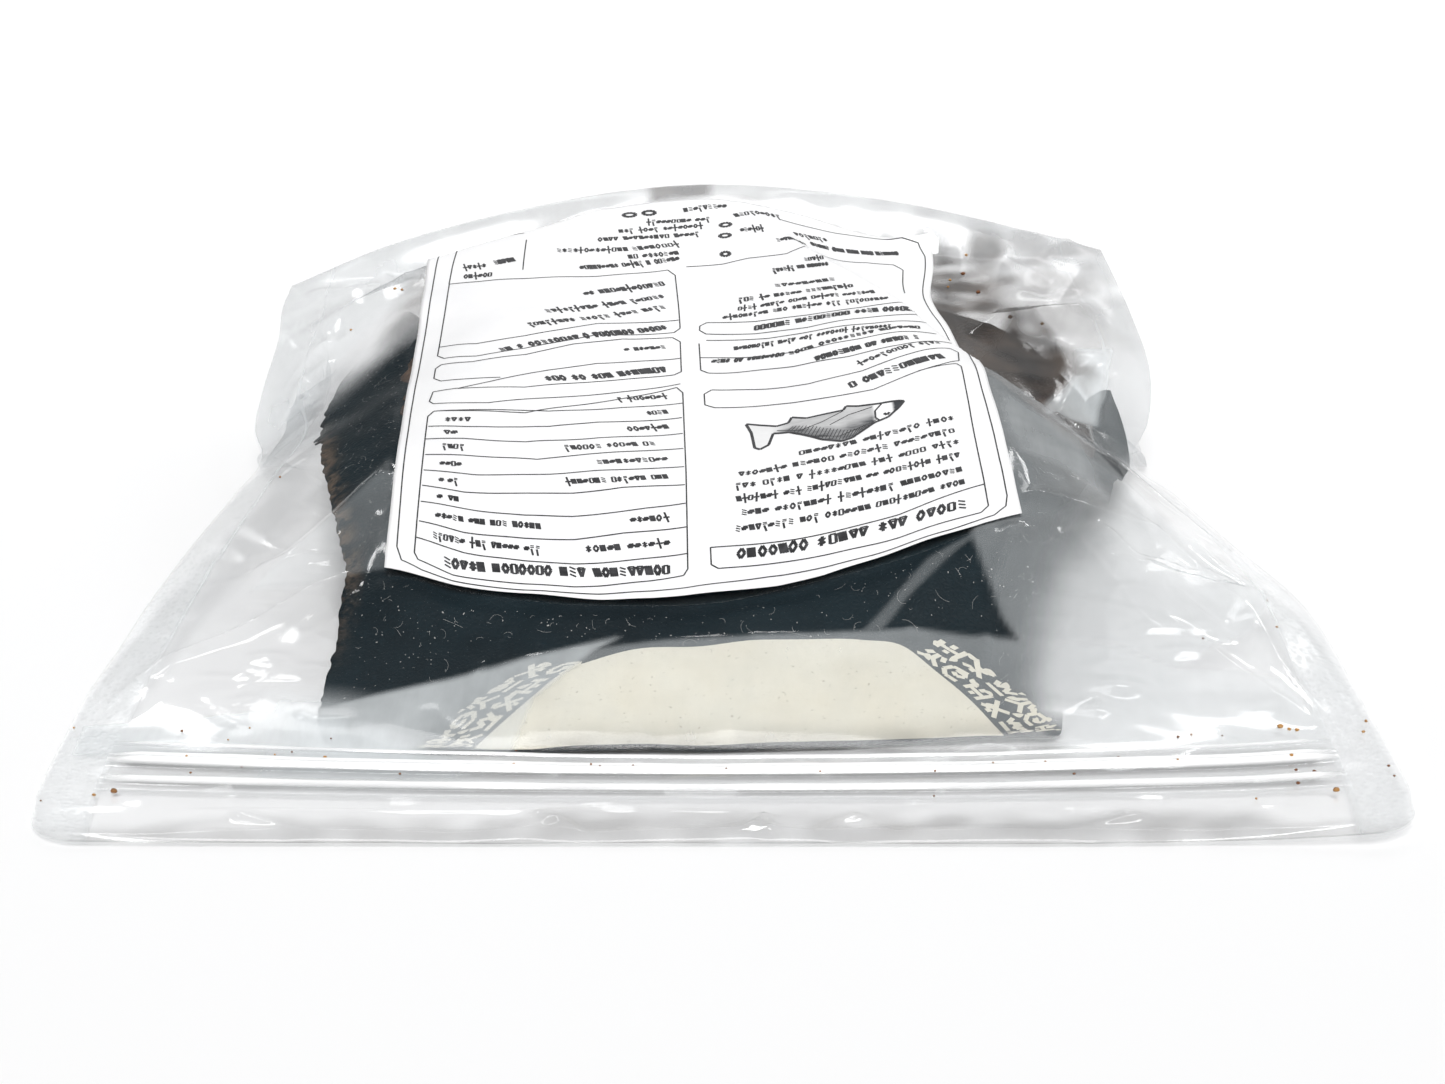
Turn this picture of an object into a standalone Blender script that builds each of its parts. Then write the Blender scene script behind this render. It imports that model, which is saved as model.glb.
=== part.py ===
"""A clear zip pouch with a dried catfish in it, lying on its back, and a paper label stuck on top.

Metres, +Z up. The zip mouth faces -Y and the gusseted bottom of the pouch faces +Y. The origin is
on the ground under the middle of the pouch. Distances along the pouch are measured from its mouth.
"""
import math

import bmesh
import bpy
import numpy as np

NAME = "bagged_dried_catfish"
GAP = 0.0004

# The pouch: its size, the thin stretch at its mouth, and where its gusset opens the sides.
LENGTH = 0.300
HALF_MOUTH = 0.1455
CORNER_RADIUS = 0.011
FILM_PAIR = 0.001
LIP_END = 0.046
GUSSET_START = 0.200
GUSSET_TUCK = 0.014
FAR_CORNER_SETBACK = 0.015
UNDERSIDE_FLAT = 0.82
BAG_COLUMNS = 30
BAG_ROWS = 32

# Cross-sections of the upper film. Each holds its distance along the pouch, its left and right edge,
# and the film's height at the seven places across that ACROSS gives.
ACROSS = np.array((-1.0, -0.8, -0.55, 0.0, 0.55, 0.8, 1.0))
SECTIONS = np.array((
    (0.000, -0.1435, 0.1435, 0.0018, 0.0012, 0.0010, 0.0010, 0.0010, 0.0020, 0.0040),
    (0.012, -0.1448, 0.1448, 0.0016, 0.0012, 0.0010, 0.0010, 0.0010, 0.0018, 0.0036),
    (0.024, -HALF_MOUTH, HALF_MOUTH, 0.0014, 0.0012, 0.0013, 0.0015, 0.0014, 0.0016, 0.0030),
    (0.046, -HALF_MOUTH, HALF_MOUTH, 0.0014, 0.0020, 0.0030, 0.0032, 0.0030, 0.0022, 0.0024),
    (0.072, -0.1447, 0.1447, 0.0020, 0.0055, 0.0100, 0.0125, 0.0110, 0.0065, 0.0022),
    (0.092, -0.1425, 0.1440, 0.0026, 0.0095, 0.0205, 0.0218, 0.0250, 0.0120, 0.0028),
    (0.118, -0.1390, 0.1400, 0.0050, 0.0140, 0.0300, 0.0324, 0.0340, 0.0180, 0.0050),
    (0.145, -0.1336, 0.1285, 0.0082, 0.0200, 0.0375, 0.0374, 0.0410, 0.0260, 0.0084),
    (0.172, -0.1280, 0.1187, 0.0105, 0.0250, 0.0415, 0.0420, 0.0460, 0.0290, 0.0108),
    (0.200, -0.1241, 0.1105, 0.0120, 0.0280, 0.0445, 0.0465, 0.0475, 0.0300, 0.0120),
    (0.216, -0.1280, 0.1163, 0.0145, 0.0300, 0.0455, 0.0490, 0.0485, 0.0320, 0.0165),
    (0.236, -0.1280, 0.1187, 0.0205, 0.0350, 0.0490, 0.0520, 0.0495, 0.0370, 0.0260),
    (0.258, -0.1263, 0.1152, 0.0280, 0.0410, 0.0520, 0.0560, 0.0510, 0.0430, 0.0370),
    (0.280, -0.1273, 0.1125, 0.0325, 0.0425, 0.0520, 0.0595, 0.0535, 0.0475, 0.0425),
    (0.300, -0.1270, 0.1110, 0.0340, 0.0430, 0.0510, 0.0605, 0.0555, 0.0500, 0.0450),
))

# Two folds run down from the high middle of the bottom seal, and behind each the film sinks. Points
# along a fold give x, the distance along the pouch, and how far the film sinks there.
RIGHT_FOLD = np.array((
    (0.005, 0.280, 0.0000),
    (0.035, 0.235, 0.0070),
    (0.061, 0.190, 0.0100),
    (0.096, 0.160, 0.0060),
    (0.138, 0.118, 0.0000),
))
LEFT_FOLD = np.array((
    (-0.130, 0.252, 0.0000),
    (-0.081, 0.262, 0.0120),
    (-0.056, 0.268, 0.0120),
    (-0.032, 0.281, 0.0060),
    (0.000, 0.288, 0.0000),
))
FOLD_WIDTH = 0.010
BOTTOM_SEAL = 0.012

# The label's outline in plan: x and the distance along the pouch, for a near edge that bows toward
# the mouth as it follows the film, and for the two far corners.
LABEL_NEAR_EDGE = np.array((
    (-0.0790, 0.0943),
    (-0.0417, 0.0865),
    (-0.0043, 0.0858),
    (0.0330, 0.0935),
    (0.0704, 0.1030),
))
LABEL_FAR_LEFT = (-0.0840, 0.2740)
LABEL_FAR_RIGHT = (0.0615, 0.2880)
LABEL_PAPER = 0.0004

# The zip: a flat strip with a pair of ribs, bowed toward the mouth in its middle. Each step of its
# profile is a share of its width and a thickness.
ZIP_HALF_LENGTH = 0.134
ZIP_NEAR = 0.0185
ZIP_NEAR_BOW = 0.0040
ZIP_FAR = 0.0370
ZIP_FAR_BOW = 0.0085
ZIP_COLUMNS = 30
ZIP_PROFILE = np.array((
    (0.00, 0.0004),
    (0.16, 0.0005),
    (0.26, 0.0013),
    (0.36, 0.0005),
    (0.52, 0.0005),
    (0.60, 0.0016),
    (0.74, 0.0016),
    (0.82, 0.0005),
    (1.00, 0.0004),
))

# The fish in the pouch: dried whole and bent into a ring, with its snout at the right. Each row of
# BODY is a share of its length, half its width and half its height. Past 1 it is the tail fin.
RING_CENTRE = (0.0, 0.184)
RING_RADIUS = 0.077
RING_WANDER = 0.004
SNOUT_ANGLE = math.radians(-4)
FISH_TURN = math.radians(300)
FISH_FLOOR = 0.0005
UNDER_FILM = 0.0030
POCKET_SPARE = 0.0006
BELOW_GROUND = 0.005
FISH_SIDES = 16
FISH_RINGS = 56
BODY = np.array((
    (0.000, 0.0030, 0.0020),
    (0.010, 0.0130, 0.0065),
    (0.035, 0.0195, 0.0110),
    (0.080, 0.0235, 0.0160),
    (0.130, 0.0240, 0.0185),
    (0.180, 0.0215, 0.0195),
    (0.280, 0.0200, 0.0225),
    (0.380, 0.0195, 0.0240),
    (0.500, 0.0180, 0.0220),
    (0.620, 0.0150, 0.0185),
    (0.740, 0.0115, 0.0150),
    (0.860, 0.0075, 0.0115),
    (0.950, 0.0045, 0.0090),
    (1.000, 0.0025, 0.0080),
    (1.040, 0.0014, 0.0110),
    (1.085, 0.0010, 0.0125),
))


def smooth_curve(knots, values, at):
    """Smooth curve through the values at the knots, read at one place. Values may be rows."""
    slopes = np.gradient(values, knots, axis=0)
    at = min(max(at, knots[0]), knots[-1])
    i = min(max(int(np.searchsorted(knots, at)) - 1, 0), len(knots) - 2)
    width = knots[i + 1] - knots[i]
    t = (at - knots[i]) / width
    start = (1 + 2 * t) * (1 - t) ** 2 * values[i] + t * (1 - t) ** 2 * width * slopes[i]
    end = t ** 2 * (3 - 2 * t) * values[i + 1] + t ** 2 * (t - 1) * width * slopes[i + 1]
    return start + end


def ease(low, high, value):
    """0 below low and 1 above high, with a smooth rise between them."""
    t = min(max((value - low) / (high - low), 0.0), 1.0)
    return t * t * (3 - 2 * t)


def sunk(x, distance):
    """How far the film lies under its cross-sections, behind the two folds."""
    drop = 0.0
    for fold in (RIGHT_FOLD, LEFT_FOLD):
        if fold[0, 0] <= x <= fold[-1, 0]:
            crest, depth = smooth_curve(fold[:, 0], fold[:, 1:], x)
            drop += max(depth, 0.0) * (1 - math.exp(-max(distance - crest, 0.0) / FOLD_WIDTH))
    return drop * (1 - ease(LENGTH - BOTTOM_SEAL, LENGTH, distance))


def film(across, distance):
    """Place of a point of the upper film: x, y from the mouth, and height."""
    left, right, *heights = smooth_curve(SECTIONS[:, 0], SECTIONS[:, 1:], distance)
    x = (left + right) / 2 + across * (right - left) / 2
    from_corner = max(abs(x) - (HALF_MOUTH - 0.0015 - CORNER_RADIUS), 0.0)
    rounding = CORNER_RADIUS - math.sqrt(max(CORNER_RADIUS ** 2 - from_corner ** 2, 0.0))
    y = distance + rounding * max(1 - distance / (2 * CORNER_RADIUS), 0.0)
    y -= FAR_CORNER_SETBACK * across ** 2 * max(distance - GUSSET_START, 0.0) / (LENGTH - GUSSET_START)
    return x, y, smooth_curve(ACROSS, np.array(heights), across) - sunk(x, distance) * (1 - across ** 6)


def underside(across, distance, top):
    """Height of the lower film: flat on the ground, and drawn up to the seals and the lip."""
    edge_height = film(math.copysign(1.0, across), distance)[2] - FILM_PAIR
    sealed = 1 - ease(GUSSET_START, GUSSET_START + 0.028, distance)
    at_seal = edge_height * sealed * ease(UNDERSIDE_FLAT, 1.0, abs(across))
    at_lip = (top - FILM_PAIR) * (1 - ease(CORNER_RADIUS, LIP_END, distance))
    return max(at_seal, at_lip, 0.0)


def grid_places(u, v):
    """Across and along the pouch for a point of the square -1 to 1, closer together at the sides."""
    return 1.25 * u - 0.25 * u ** 3, LENGTH * (v + 1) / 2


def bag_point(u, v, level):
    """Level 1 is the upper film, 0 the lower film, and 0.5 the tuck between them."""
    across, distance = grid_places(u, v)
    x, y, top = film(across, distance)
    bottom = underside(across, distance, top)
    if level == 0.5:
        tuck = GUSSET_TUCK * ease(GUSSET_START, LENGTH - 0.04, distance)
        x -= tuck * across ** 5
        y -= tuck * ease(LENGTH - 0.06, LENGTH, distance)
    return x, y - LENGTH / 2, bottom + (top - bottom) * level


def label_point(u, v, level):
    """A sheet that follows the upper film, just clear of it."""
    x, y, top = film(*grid_places(u, v))
    return x, y - LENGTH / 2, top + GAP + LABEL_PAPER * level


def zip_point(u, v, level):
    """A ribbed strip that lies on the upper film, just clear of it."""
    x = ZIP_HALF_LENGTH * u
    near = ZIP_NEAR + ZIP_NEAR_BOW * u * u
    far = ZIP_FAR + ZIP_FAR_BOW * u * u
    share, thickness = ZIP_PROFILE[round((v + 1) / 2 * (len(ZIP_PROFILE) - 1))]
    distance = near + (far - near) * share
    top = film(x / HALF_MOUTH, distance)[2]
    return x, distance - LENGTH / 2, top + GAP + thickness * level


def film_heights(x, distance):
    """Heights of the lower and the upper film at a place that is given in plan."""
    along = distance
    for _ in range(12):
        left, right = smooth_curve(SECTIONS[:, 0], SECTIONS[:, 1:3], along)
        across = min(max((2 * x - left - right) / (right - left), -1.0), 1.0)
        along = min(max(along + distance - film(across, along)[1], 0.0), LENGTH)
    top = film(across, along)[2]
    return underside(across, along, top), top


def ring_place(share, outward):
    """Plan place at a share of the fish's length and a distance outward from its backbone."""
    angle = SNOUT_ANGLE + FISH_TURN * share
    reach = RING_RADIUS + RING_WANDER * math.sin(3.1 * angle + 0.6) + outward
    return RING_CENTRE[0] + reach * math.cos(angle), RING_CENTRE[1] + reach * math.sin(angle)


def fish_point(end, side, rise, spare):
    """A point of the fish: end is 0 at the snout and 1 at the tail, side and rise go round the body.
    With spare it is a point of the pocket, which drops straight down from its widest line."""
    spaced = end - 0.55 * math.sin(math.tau * end) / math.tau
    share = spaced * BODY[-1, 0]
    onward = share + 1.5 * spare / (RING_RADIUS * FISH_TURN) * (2 * spaced - 1)
    half_width, half_height = smooth_curve(BODY[:, 0], BODY[:, 1:], share)
    outward = math.copysign(abs(side) ** 0.86, side)
    lift = math.copysign(abs(rise) ** 0.90, rise)
    lowest, highest = film_heights(*ring_place(share, half_width * outward))
    middle = FISH_FLOOR + 0.001 + half_height + 0.002 * ease(0.7, 1.0, share)
    if spare and rise < 0:
        place = math.atan2(-rise, side) / math.pi
        outward = (1 - 2 * place) / (1 - 4 / FISH_SIDES)
        height = -BELOW_GROUND
    else:
        height = min(middle + (half_height + spare) * lift, highest - UNDER_FILM + spare)
    x, distance = ring_place(onward, (half_width + spare) * outward)
    return x, distance - LENGTH / 2, height if spare else max(height, lowest + FISH_FLOOR)


def material(name, color, roughness, metallic=0.0):
    made = bpy.data.materials.new(name)
    made.use_nodes = True
    shader = made.node_tree.nodes["Principled BSDF"]
    shader.inputs["Base Color"].default_value = (*color, 1)
    shader.inputs["Roughness"].default_value = roughness
    shader.inputs["Metallic"].default_value = metallic
    return made


def block(name, columns, rows, walls, place, finish):
    """A closed sheet: a square grid and its copy, joined by walls, each point carried to its place."""
    bm = bmesh.new()
    bmesh.ops.create_grid(bm, x_segments=columns, y_segments=rows, size=1.0)
    bmesh.ops.triangulate(bm, faces=bm.faces, quad_method="FIXED")
    copy = bmesh.ops.duplicate(bm, geom=bm.verts[:] + bm.edges[:] + bm.faces[:])["geom"]
    upper = [part for part in copy if isinstance(part, bmesh.types.BMVert)]
    bmesh.ops.translate(bm, verts=upper, vec=(0, 0, 1))
    rim = [part for part in copy if isinstance(part, bmesh.types.BMEdge) and part.is_boundary]
    for _ in range(walls):
        lower = bmesh.ops.extrude_edge_only(bm, edges=rim)["geom"]
        rim = [part for part in lower if isinstance(part, bmesh.types.BMEdge)]
        ring = [part for part in lower if isinstance(part, bmesh.types.BMVert)]
        bmesh.ops.translate(bm, verts=ring, vec=(0, 0, -1 / walls))
    bmesh.ops.remove_doubles(bm, verts=bm.verts, dist=0.00001)
    for vertex in bm.verts:
        u, v, level = vertex.co
        vertex.co = place(u, v, round(level, 3))
    bmesh.ops.recalc_face_normals(bm, faces=bm.faces)
    mesh = bpy.data.meshes.new(name)
    bm.to_mesh(mesh)
    bm.free()
    mesh.shade_smooth()
    mesh.set_sharp_from_angle(angle=math.radians(35))
    mesh.materials.append(finish)
    made = bpy.data.objects.new(name, mesh)
    parts.objects.link(made)
    return made


def ring_shape(name, spare):
    """The fish, or the pocket for it: a sphere drawn out from its poles and bent along the ring."""
    bm = bmesh.new()
    bmesh.ops.create_uvsphere(bm, u_segments=FISH_SIDES, v_segments=FISH_RINGS, radius=1.0)
    for vertex in bm.verts:
        x, y, z = vertex.co
        end = round(math.acos(min(max(z, -1.0), 1.0)) / math.pi * FISH_RINGS) / FISH_RINGS
        if 0 < end < 1:
            turn = round(math.atan2(y, x) / math.tau * FISH_SIDES) * math.tau / FISH_SIDES
            vertex.co = fish_point(end, math.cos(turn), round(math.sin(turn), 6), spare)
        else:
            vertex.co = fish_point(end, 0.0, 0.0, spare)
    if bm.calc_volume(signed=True) < 0:
        bmesh.ops.reverse_faces(bm, faces=bm.faces)
    mesh = bpy.data.meshes.new(name)
    bm.to_mesh(mesh)
    bm.free()
    return bpy.data.objects.new(name, mesh)


def label_outline():
    """The label's outline in plan, counter-clockwise from its near left corner."""
    x, distance = LABEL_NEAR_EDGE.T
    near_edge = [(at, smooth_curve(x, distance, at)) for at in np.linspace(x[0], x[-1], 13)]
    return near_edge + [LABEL_FAR_RIGHT, LABEL_FAR_LEFT]


def prism(name, outline, height):
    """A cutter: a plan outline drawn out to this height above the ground."""
    shape = bpy.data.curves.new(name, "CURVE")
    shape.dimensions = "2D"
    shape.fill_mode = "BOTH"
    shape.extrude = height / 2
    spline = shape.splines.new("POLY")
    spline.points.add(len(outline) - 1)
    for point, (x, distance) in zip(spline.points, outline):
        point.co = (x, distance - LENGTH / 2, 0, 1)
    spline.use_cyclic_u = True
    drawn = bpy.data.objects.new(name + "_curve", shape)
    cutters.objects.link(drawn)
    mesh = bpy.data.meshes.new_from_object(drawn.evaluated_get(bpy.context.evaluated_depsgraph_get()))
    bpy.data.objects.remove(drawn)
    bm = bmesh.new()
    bm.from_mesh(mesh)
    bmesh.ops.remove_doubles(bm, verts=bm.verts, dist=0.00001)
    bmesh.ops.recalc_face_normals(bm, faces=bm.faces)
    bm.to_mesh(mesh)
    bm.free()
    made = bpy.data.objects.new(name, mesh)
    made.location.z = height / 2
    made.hide_render = True
    made.display_type = "WIRE"
    cutters.objects.link(made)
    return made


for leftover in list(bpy.data.objects):
    bpy.data.objects.remove(leftover, do_unlink=True)
parts = bpy.data.collections.new(NAME)
cutters = bpy.data.collections.new("cutters")
bpy.context.scene.collection.children.link(parts)
bpy.context.scene.collection.children.link(cutters)

catfish = ring_shape("catfish", 0.0)
catfish.data.materials.append(material("dried fish skin", (0.10, 0.06, 0.04), 0.5))
catfish.data.shade_smooth()
parts.objects.link(catfish)

pocket = ring_shape("pocket", POCKET_SPARE)
pocket.hide_render = True
pocket.display_type = "WIRE"
cutters.objects.link(pocket)

bag = block("bag", BAG_COLUMNS, BAG_ROWS, 2, bag_point, material("clear film", (0.80, 0.83, 0.85), 0.2))
room = bag.modifiers.new("room for the fish, open to the ground", "BOOLEAN")
room.operation = "DIFFERENCE"
room.object = pocket

label = block("label", BAG_COLUMNS, BAG_ROWS, 1, label_point, material("label paper", (0.93, 0.93, 0.92), 0.6))
trim = label.modifiers.new("trim to the label's outline", "BOOLEAN")
trim.operation = "INTERSECT"
trim.object = prism("label_outline", label_outline(), 0.08)

zip_rows = len(ZIP_PROFILE) - 1
block("zip_profile", ZIP_COLUMNS, zip_rows, 1, zip_point, material("zip plastic", (0.90, 0.91, 0.92), 0.3))
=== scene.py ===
"""A clear zip pouch that lies on its back, with a dark printed card over a dried catfish inside,
and a big paper label stuck on top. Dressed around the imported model, in metres, +Z up."""
import math

import bpy
import numpy as np
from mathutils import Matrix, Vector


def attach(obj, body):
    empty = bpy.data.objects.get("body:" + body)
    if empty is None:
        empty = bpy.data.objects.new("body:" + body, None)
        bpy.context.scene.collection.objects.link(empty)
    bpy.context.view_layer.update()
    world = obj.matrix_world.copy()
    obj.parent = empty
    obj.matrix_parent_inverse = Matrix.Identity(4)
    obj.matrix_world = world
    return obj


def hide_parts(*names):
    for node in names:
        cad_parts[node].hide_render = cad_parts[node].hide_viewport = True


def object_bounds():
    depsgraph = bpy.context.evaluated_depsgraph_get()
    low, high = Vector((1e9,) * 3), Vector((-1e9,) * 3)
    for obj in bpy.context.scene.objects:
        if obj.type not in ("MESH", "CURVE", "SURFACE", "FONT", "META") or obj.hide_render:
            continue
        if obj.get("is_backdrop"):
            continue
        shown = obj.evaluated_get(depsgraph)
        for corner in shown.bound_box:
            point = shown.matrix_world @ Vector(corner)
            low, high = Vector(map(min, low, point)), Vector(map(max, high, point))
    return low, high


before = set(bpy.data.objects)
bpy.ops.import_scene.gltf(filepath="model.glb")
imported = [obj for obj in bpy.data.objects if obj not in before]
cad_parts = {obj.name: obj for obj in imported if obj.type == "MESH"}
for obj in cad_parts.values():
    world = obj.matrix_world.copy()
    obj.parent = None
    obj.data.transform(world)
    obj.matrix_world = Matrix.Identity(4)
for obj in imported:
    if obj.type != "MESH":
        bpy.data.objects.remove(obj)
cad_low, cad_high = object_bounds()


# Upper film: one clear plastic sheet of the pouch, sealed to the lower sheet down both sides and
# held up by the fish inside. It is pulled into long sharp folds, facets and many small crinkles.
MM = 0.001
LENGTH = 0.300
HALF_MOUTH = 0.1455
CORNER_RADIUS = 0.011
CORNER_INSET = 0.0015
GUSSET_START = 0.200
FAR_CORNER_SETBACK = 0.015
SEAL_WIDTH = 0.0125
FAR_SEAL_WIDTH = 0.009
SEAL_LINE_WIDTH = 0.0005
FOLD_WIDTH = 0.010
FOLD_END = 0.012
LOWEST_FILM = 0.0009
BROAD_WAVE = 0.00022
FINE_WAVE = 0.00004
PRESS_UNDER_LABEL = 0.0003
FILM_ROWS = 325
FILM_COLUMNS = 290
ACROSS = np.array((-1.0, -0.8, -0.55, 0.0, 0.55, 0.8, 1.0))
# Distance from the mouth, left and right end, then the height at each place of ACROSS.
SECTIONS = np.array((
    (0.000, -0.1435, 0.1435, 0.0018, 0.0012, 0.0010, 0.0010, 0.0010, 0.0020, 0.0040),
    (0.012, -0.1448, 0.1448, 0.0016, 0.0012, 0.0010, 0.0010, 0.0010, 0.0018, 0.0036),
    (0.024, -HALF_MOUTH, HALF_MOUTH, 0.0014, 0.0012, 0.0013, 0.0015, 0.0014, 0.0016, 0.0030),
    (0.046, -HALF_MOUTH, HALF_MOUTH, 0.0014, 0.0020, 0.0030, 0.0032, 0.0030, 0.0022, 0.0024),
    (0.072, -0.1447, 0.1447, 0.0020, 0.0055, 0.0100, 0.0125, 0.0110, 0.0065, 0.0022),
    (0.092, -0.1425, 0.1440, 0.0026, 0.0095, 0.0205, 0.0218, 0.0250, 0.0120, 0.0028),
    (0.118, -0.1390, 0.1400, 0.0050, 0.0140, 0.0300, 0.0324, 0.0340, 0.0180, 0.0050),
    (0.145, -0.1336, 0.1285, 0.0082, 0.0200, 0.0375, 0.0374, 0.0410, 0.0260, 0.0084),
    (0.172, -0.1280, 0.1187, 0.0105, 0.0250, 0.0415, 0.0420, 0.0460, 0.0290, 0.0108),
    (0.200, -0.1241, 0.1105, 0.0120, 0.0280, 0.0445, 0.0465, 0.0475, 0.0300, 0.0120),
    (0.216, -0.1280, 0.1163, 0.0145, 0.0300, 0.0455, 0.0490, 0.0485, 0.0320, 0.0165),
    (0.236, -0.1280, 0.1187, 0.0205, 0.0350, 0.0490, 0.0520, 0.0495, 0.0370, 0.0260),
    (0.258, -0.1263, 0.1152, 0.0280, 0.0410, 0.0520, 0.0560, 0.0510, 0.0430, 0.0370),
    (0.280, -0.1273, 0.1125, 0.0325, 0.0425, 0.0520, 0.0595, 0.0535, 0.0475, 0.0425),
    (0.300, -0.1270, 0.1110, 0.0340, 0.0430, 0.0510, 0.0605, 0.0555, 0.0500, 0.0450),
))
# The two long folds: x, distance from the mouth, and how far the film drops behind the crest.
LONG_FOLDS = (
    np.array(((0.005, 0.280, 0.0000), (0.035, 0.235, 0.0070), (0.061, 0.190, 0.0100),
              (0.096, 0.160, 0.0060), (0.138, 0.118, 0.0000))),
    np.array(((-0.130, 0.252, 0.0000), (-0.081, 0.262, 0.0120), (-0.056, 0.268, 0.0120),
              (-0.032, 0.281, 0.0060), (0.000, 0.288, 0.0000))),
)
# Smaller folds, in millimetres: height, width, then points x and distance from the mouth.
SMALL_FOLDS = (
    (3.2, 4.5, (-74, 139), (-86, 129), (-95, 121), (-104, 114), (-119, 105)),
    (1.8, 2.6, (-124, 224), (-119, 205), (-116, 190)),
    (2.0, 2.6, (-119, 205), (-117, 222), (-110, 224), (-104, 226)),
    (1.5, 2.6, (-124, 241), (-109, 233), (-100, 231)),
    (1.5, 2.2, (-107, 235), (-116, 232), (-123, 221)),
    (1.4, 2.2, (-105, 288), (-99, 281), (-87, 262)),
    (1.2, 2.6, (-122, 276), (-108, 270), (-97, 272)),
    (1.5, 3.0, (-127, 160), (-124, 180), (-122, 200)),
    (1.6, 3.0, (-112, 170), (-106, 158), (-100, 146)),
    (1.5, 2.5, (-131, 132), (-120, 122), (-107, 106)),
    (1.2, 1.6, (-128, 118), (-112, 110), (-96, 112)),
    (1.3, 1.6, (88, 112), (104, 96), (120, 84)),
    (1.1, 1.4, (80, 104), (96, 84), (112, 70)),
    (1.1, 1.4, (96, 128), (112, 114), (126, 96)),
    (3.4, 3.2, (66, 224), (78, 239), (91, 247), (103, 250), (108, 243), (110, 226)),
    (2.4, 2.6, (86, 190), (98, 218), (108, 232)),
    (2.0, 2.2, (101, 203), (106, 218), (109, 228)),
    (2.2, 2.4, (101, 203), (93, 186), (84, 172)),
    (1.6, 2.0, (101, 203), (110, 196), (114, 186)),
    (1.6, 2.2, (101, 203), (94, 222), (90, 236)),
    (2.0, 3.6, (68, 114), (79, 113), (90, 115), (112, 122)),
    (1.4, 2.0, (77, 97), (87, 105), (95, 109)),
    (1.3, 1.8, (90, 99), (98, 99), (105, 91)),
    (2.0, 2.8, (94, 97), (110, 99), (124, 102)),
    (2.2, 3.0, (100, 88), (113, 77), (126, 62), (133, 50)),
    (1.5, 2.6, (136, 112), (139, 86), (141, 56)),
    (1.6, 2.6, (124, 110), (128, 80), (136, 52)),
    (1.6, 2.6, (112, 128), (120, 116), (134, 104)),
    (1.5, 2.2, (70, 112), (66, 96), (60, 78), (60, 62)),
    (0.9, 2.4, (-70, 66), (-40, 70), (-13, 74), (44, 76), (81, 75), (105, 77), (128, 72)),
    (0.8, 1.1, (-41, 86), (-48, 80), (-55, 66), (-57, 53)),
    (1.3, 1.1, (98, 101), (104, 105), (111, 106.5)),
    (1.3, 1.1, (109, 105), (117, 109), (124, 110)),
    (0.9, 1.0, (120, 104), (127, 109), (133, 113)),
    (0.8, 1.0, (88, 78), (100, 81), (112, 79), (122, 84)),
    (0.8, 1.3, (54, 96), (46, 87), (43, 76), (38, 60)),
    (1.5, 2.4, (106, 291), (94, 280), (103, 272)),
    (1.5, 2.4, (70, 289), (82, 282), (95, 262)),
    (1.3, 2.6, (82, 262), (92, 256), (104, 262)),
    (1.3, 2.2, (-31, 3), (-36, 9), (-40, 15)),
    (1.3, 2.0, (5, 3), (8, 9), (9, 14)),
    (1.3, 2.2, (19, 3), (25, 9), (30, 14)),
    (1.0, 2.4, (-86, 3), (-94, 8), (-104, 13)),
    (1.0, 2.4, (72, 3), (79, 8), (90, 13)),
    (2.6, 1.5, (-150, 5), (-120, 3.0), (-86, 4.0), (-56, 3.2), (-40, 5), (-28, 3.0), (6, 5.0), (24, 3.4),
     (60, 4.6), (100, 3.2), (150, 6)),
    (1.4, 1.8, (-42, 4), (-34, 9.5), (-31, 5), (-28, 1.5)),
    (1.3, 1.6, (5, 4), (8, 8), (11, 2)),
    (1.2, 1.8, (23, 7), (27, 3), (36, 6)),
    (0.6, 1.0, (-118, 14.5), (-60, 14.8), (20, 14.6)),
    (2.2, 1.8, (98, 99), (104, 99), (111, 102), (117, 102.5), (128, 109)),
    (2.3, 1.5, (-140, 63), (-129, 82), (-112, 87.7), (-96, 97), (-86, 100)),
    (2.0, 1.9, (-89, 91), (-86, 89.5), (-88, 84.5), (-92, 79.5)),
    (0.3, 4.4, (-135, 49), (-124, 68), (-107, 74), (-91, 83), (-81, 86)),
    (1.1, 0.8, (60, 191), (75, 178), (96, 160), (115, 141), (136, 120)),
    (2.4, 2.0, (101, 203), (97, 193), (90, 182), (82, 176)),
    (1.6, 2.0, (70, 236), (84, 243), (96, 246), (106, 243)),
)
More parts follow.
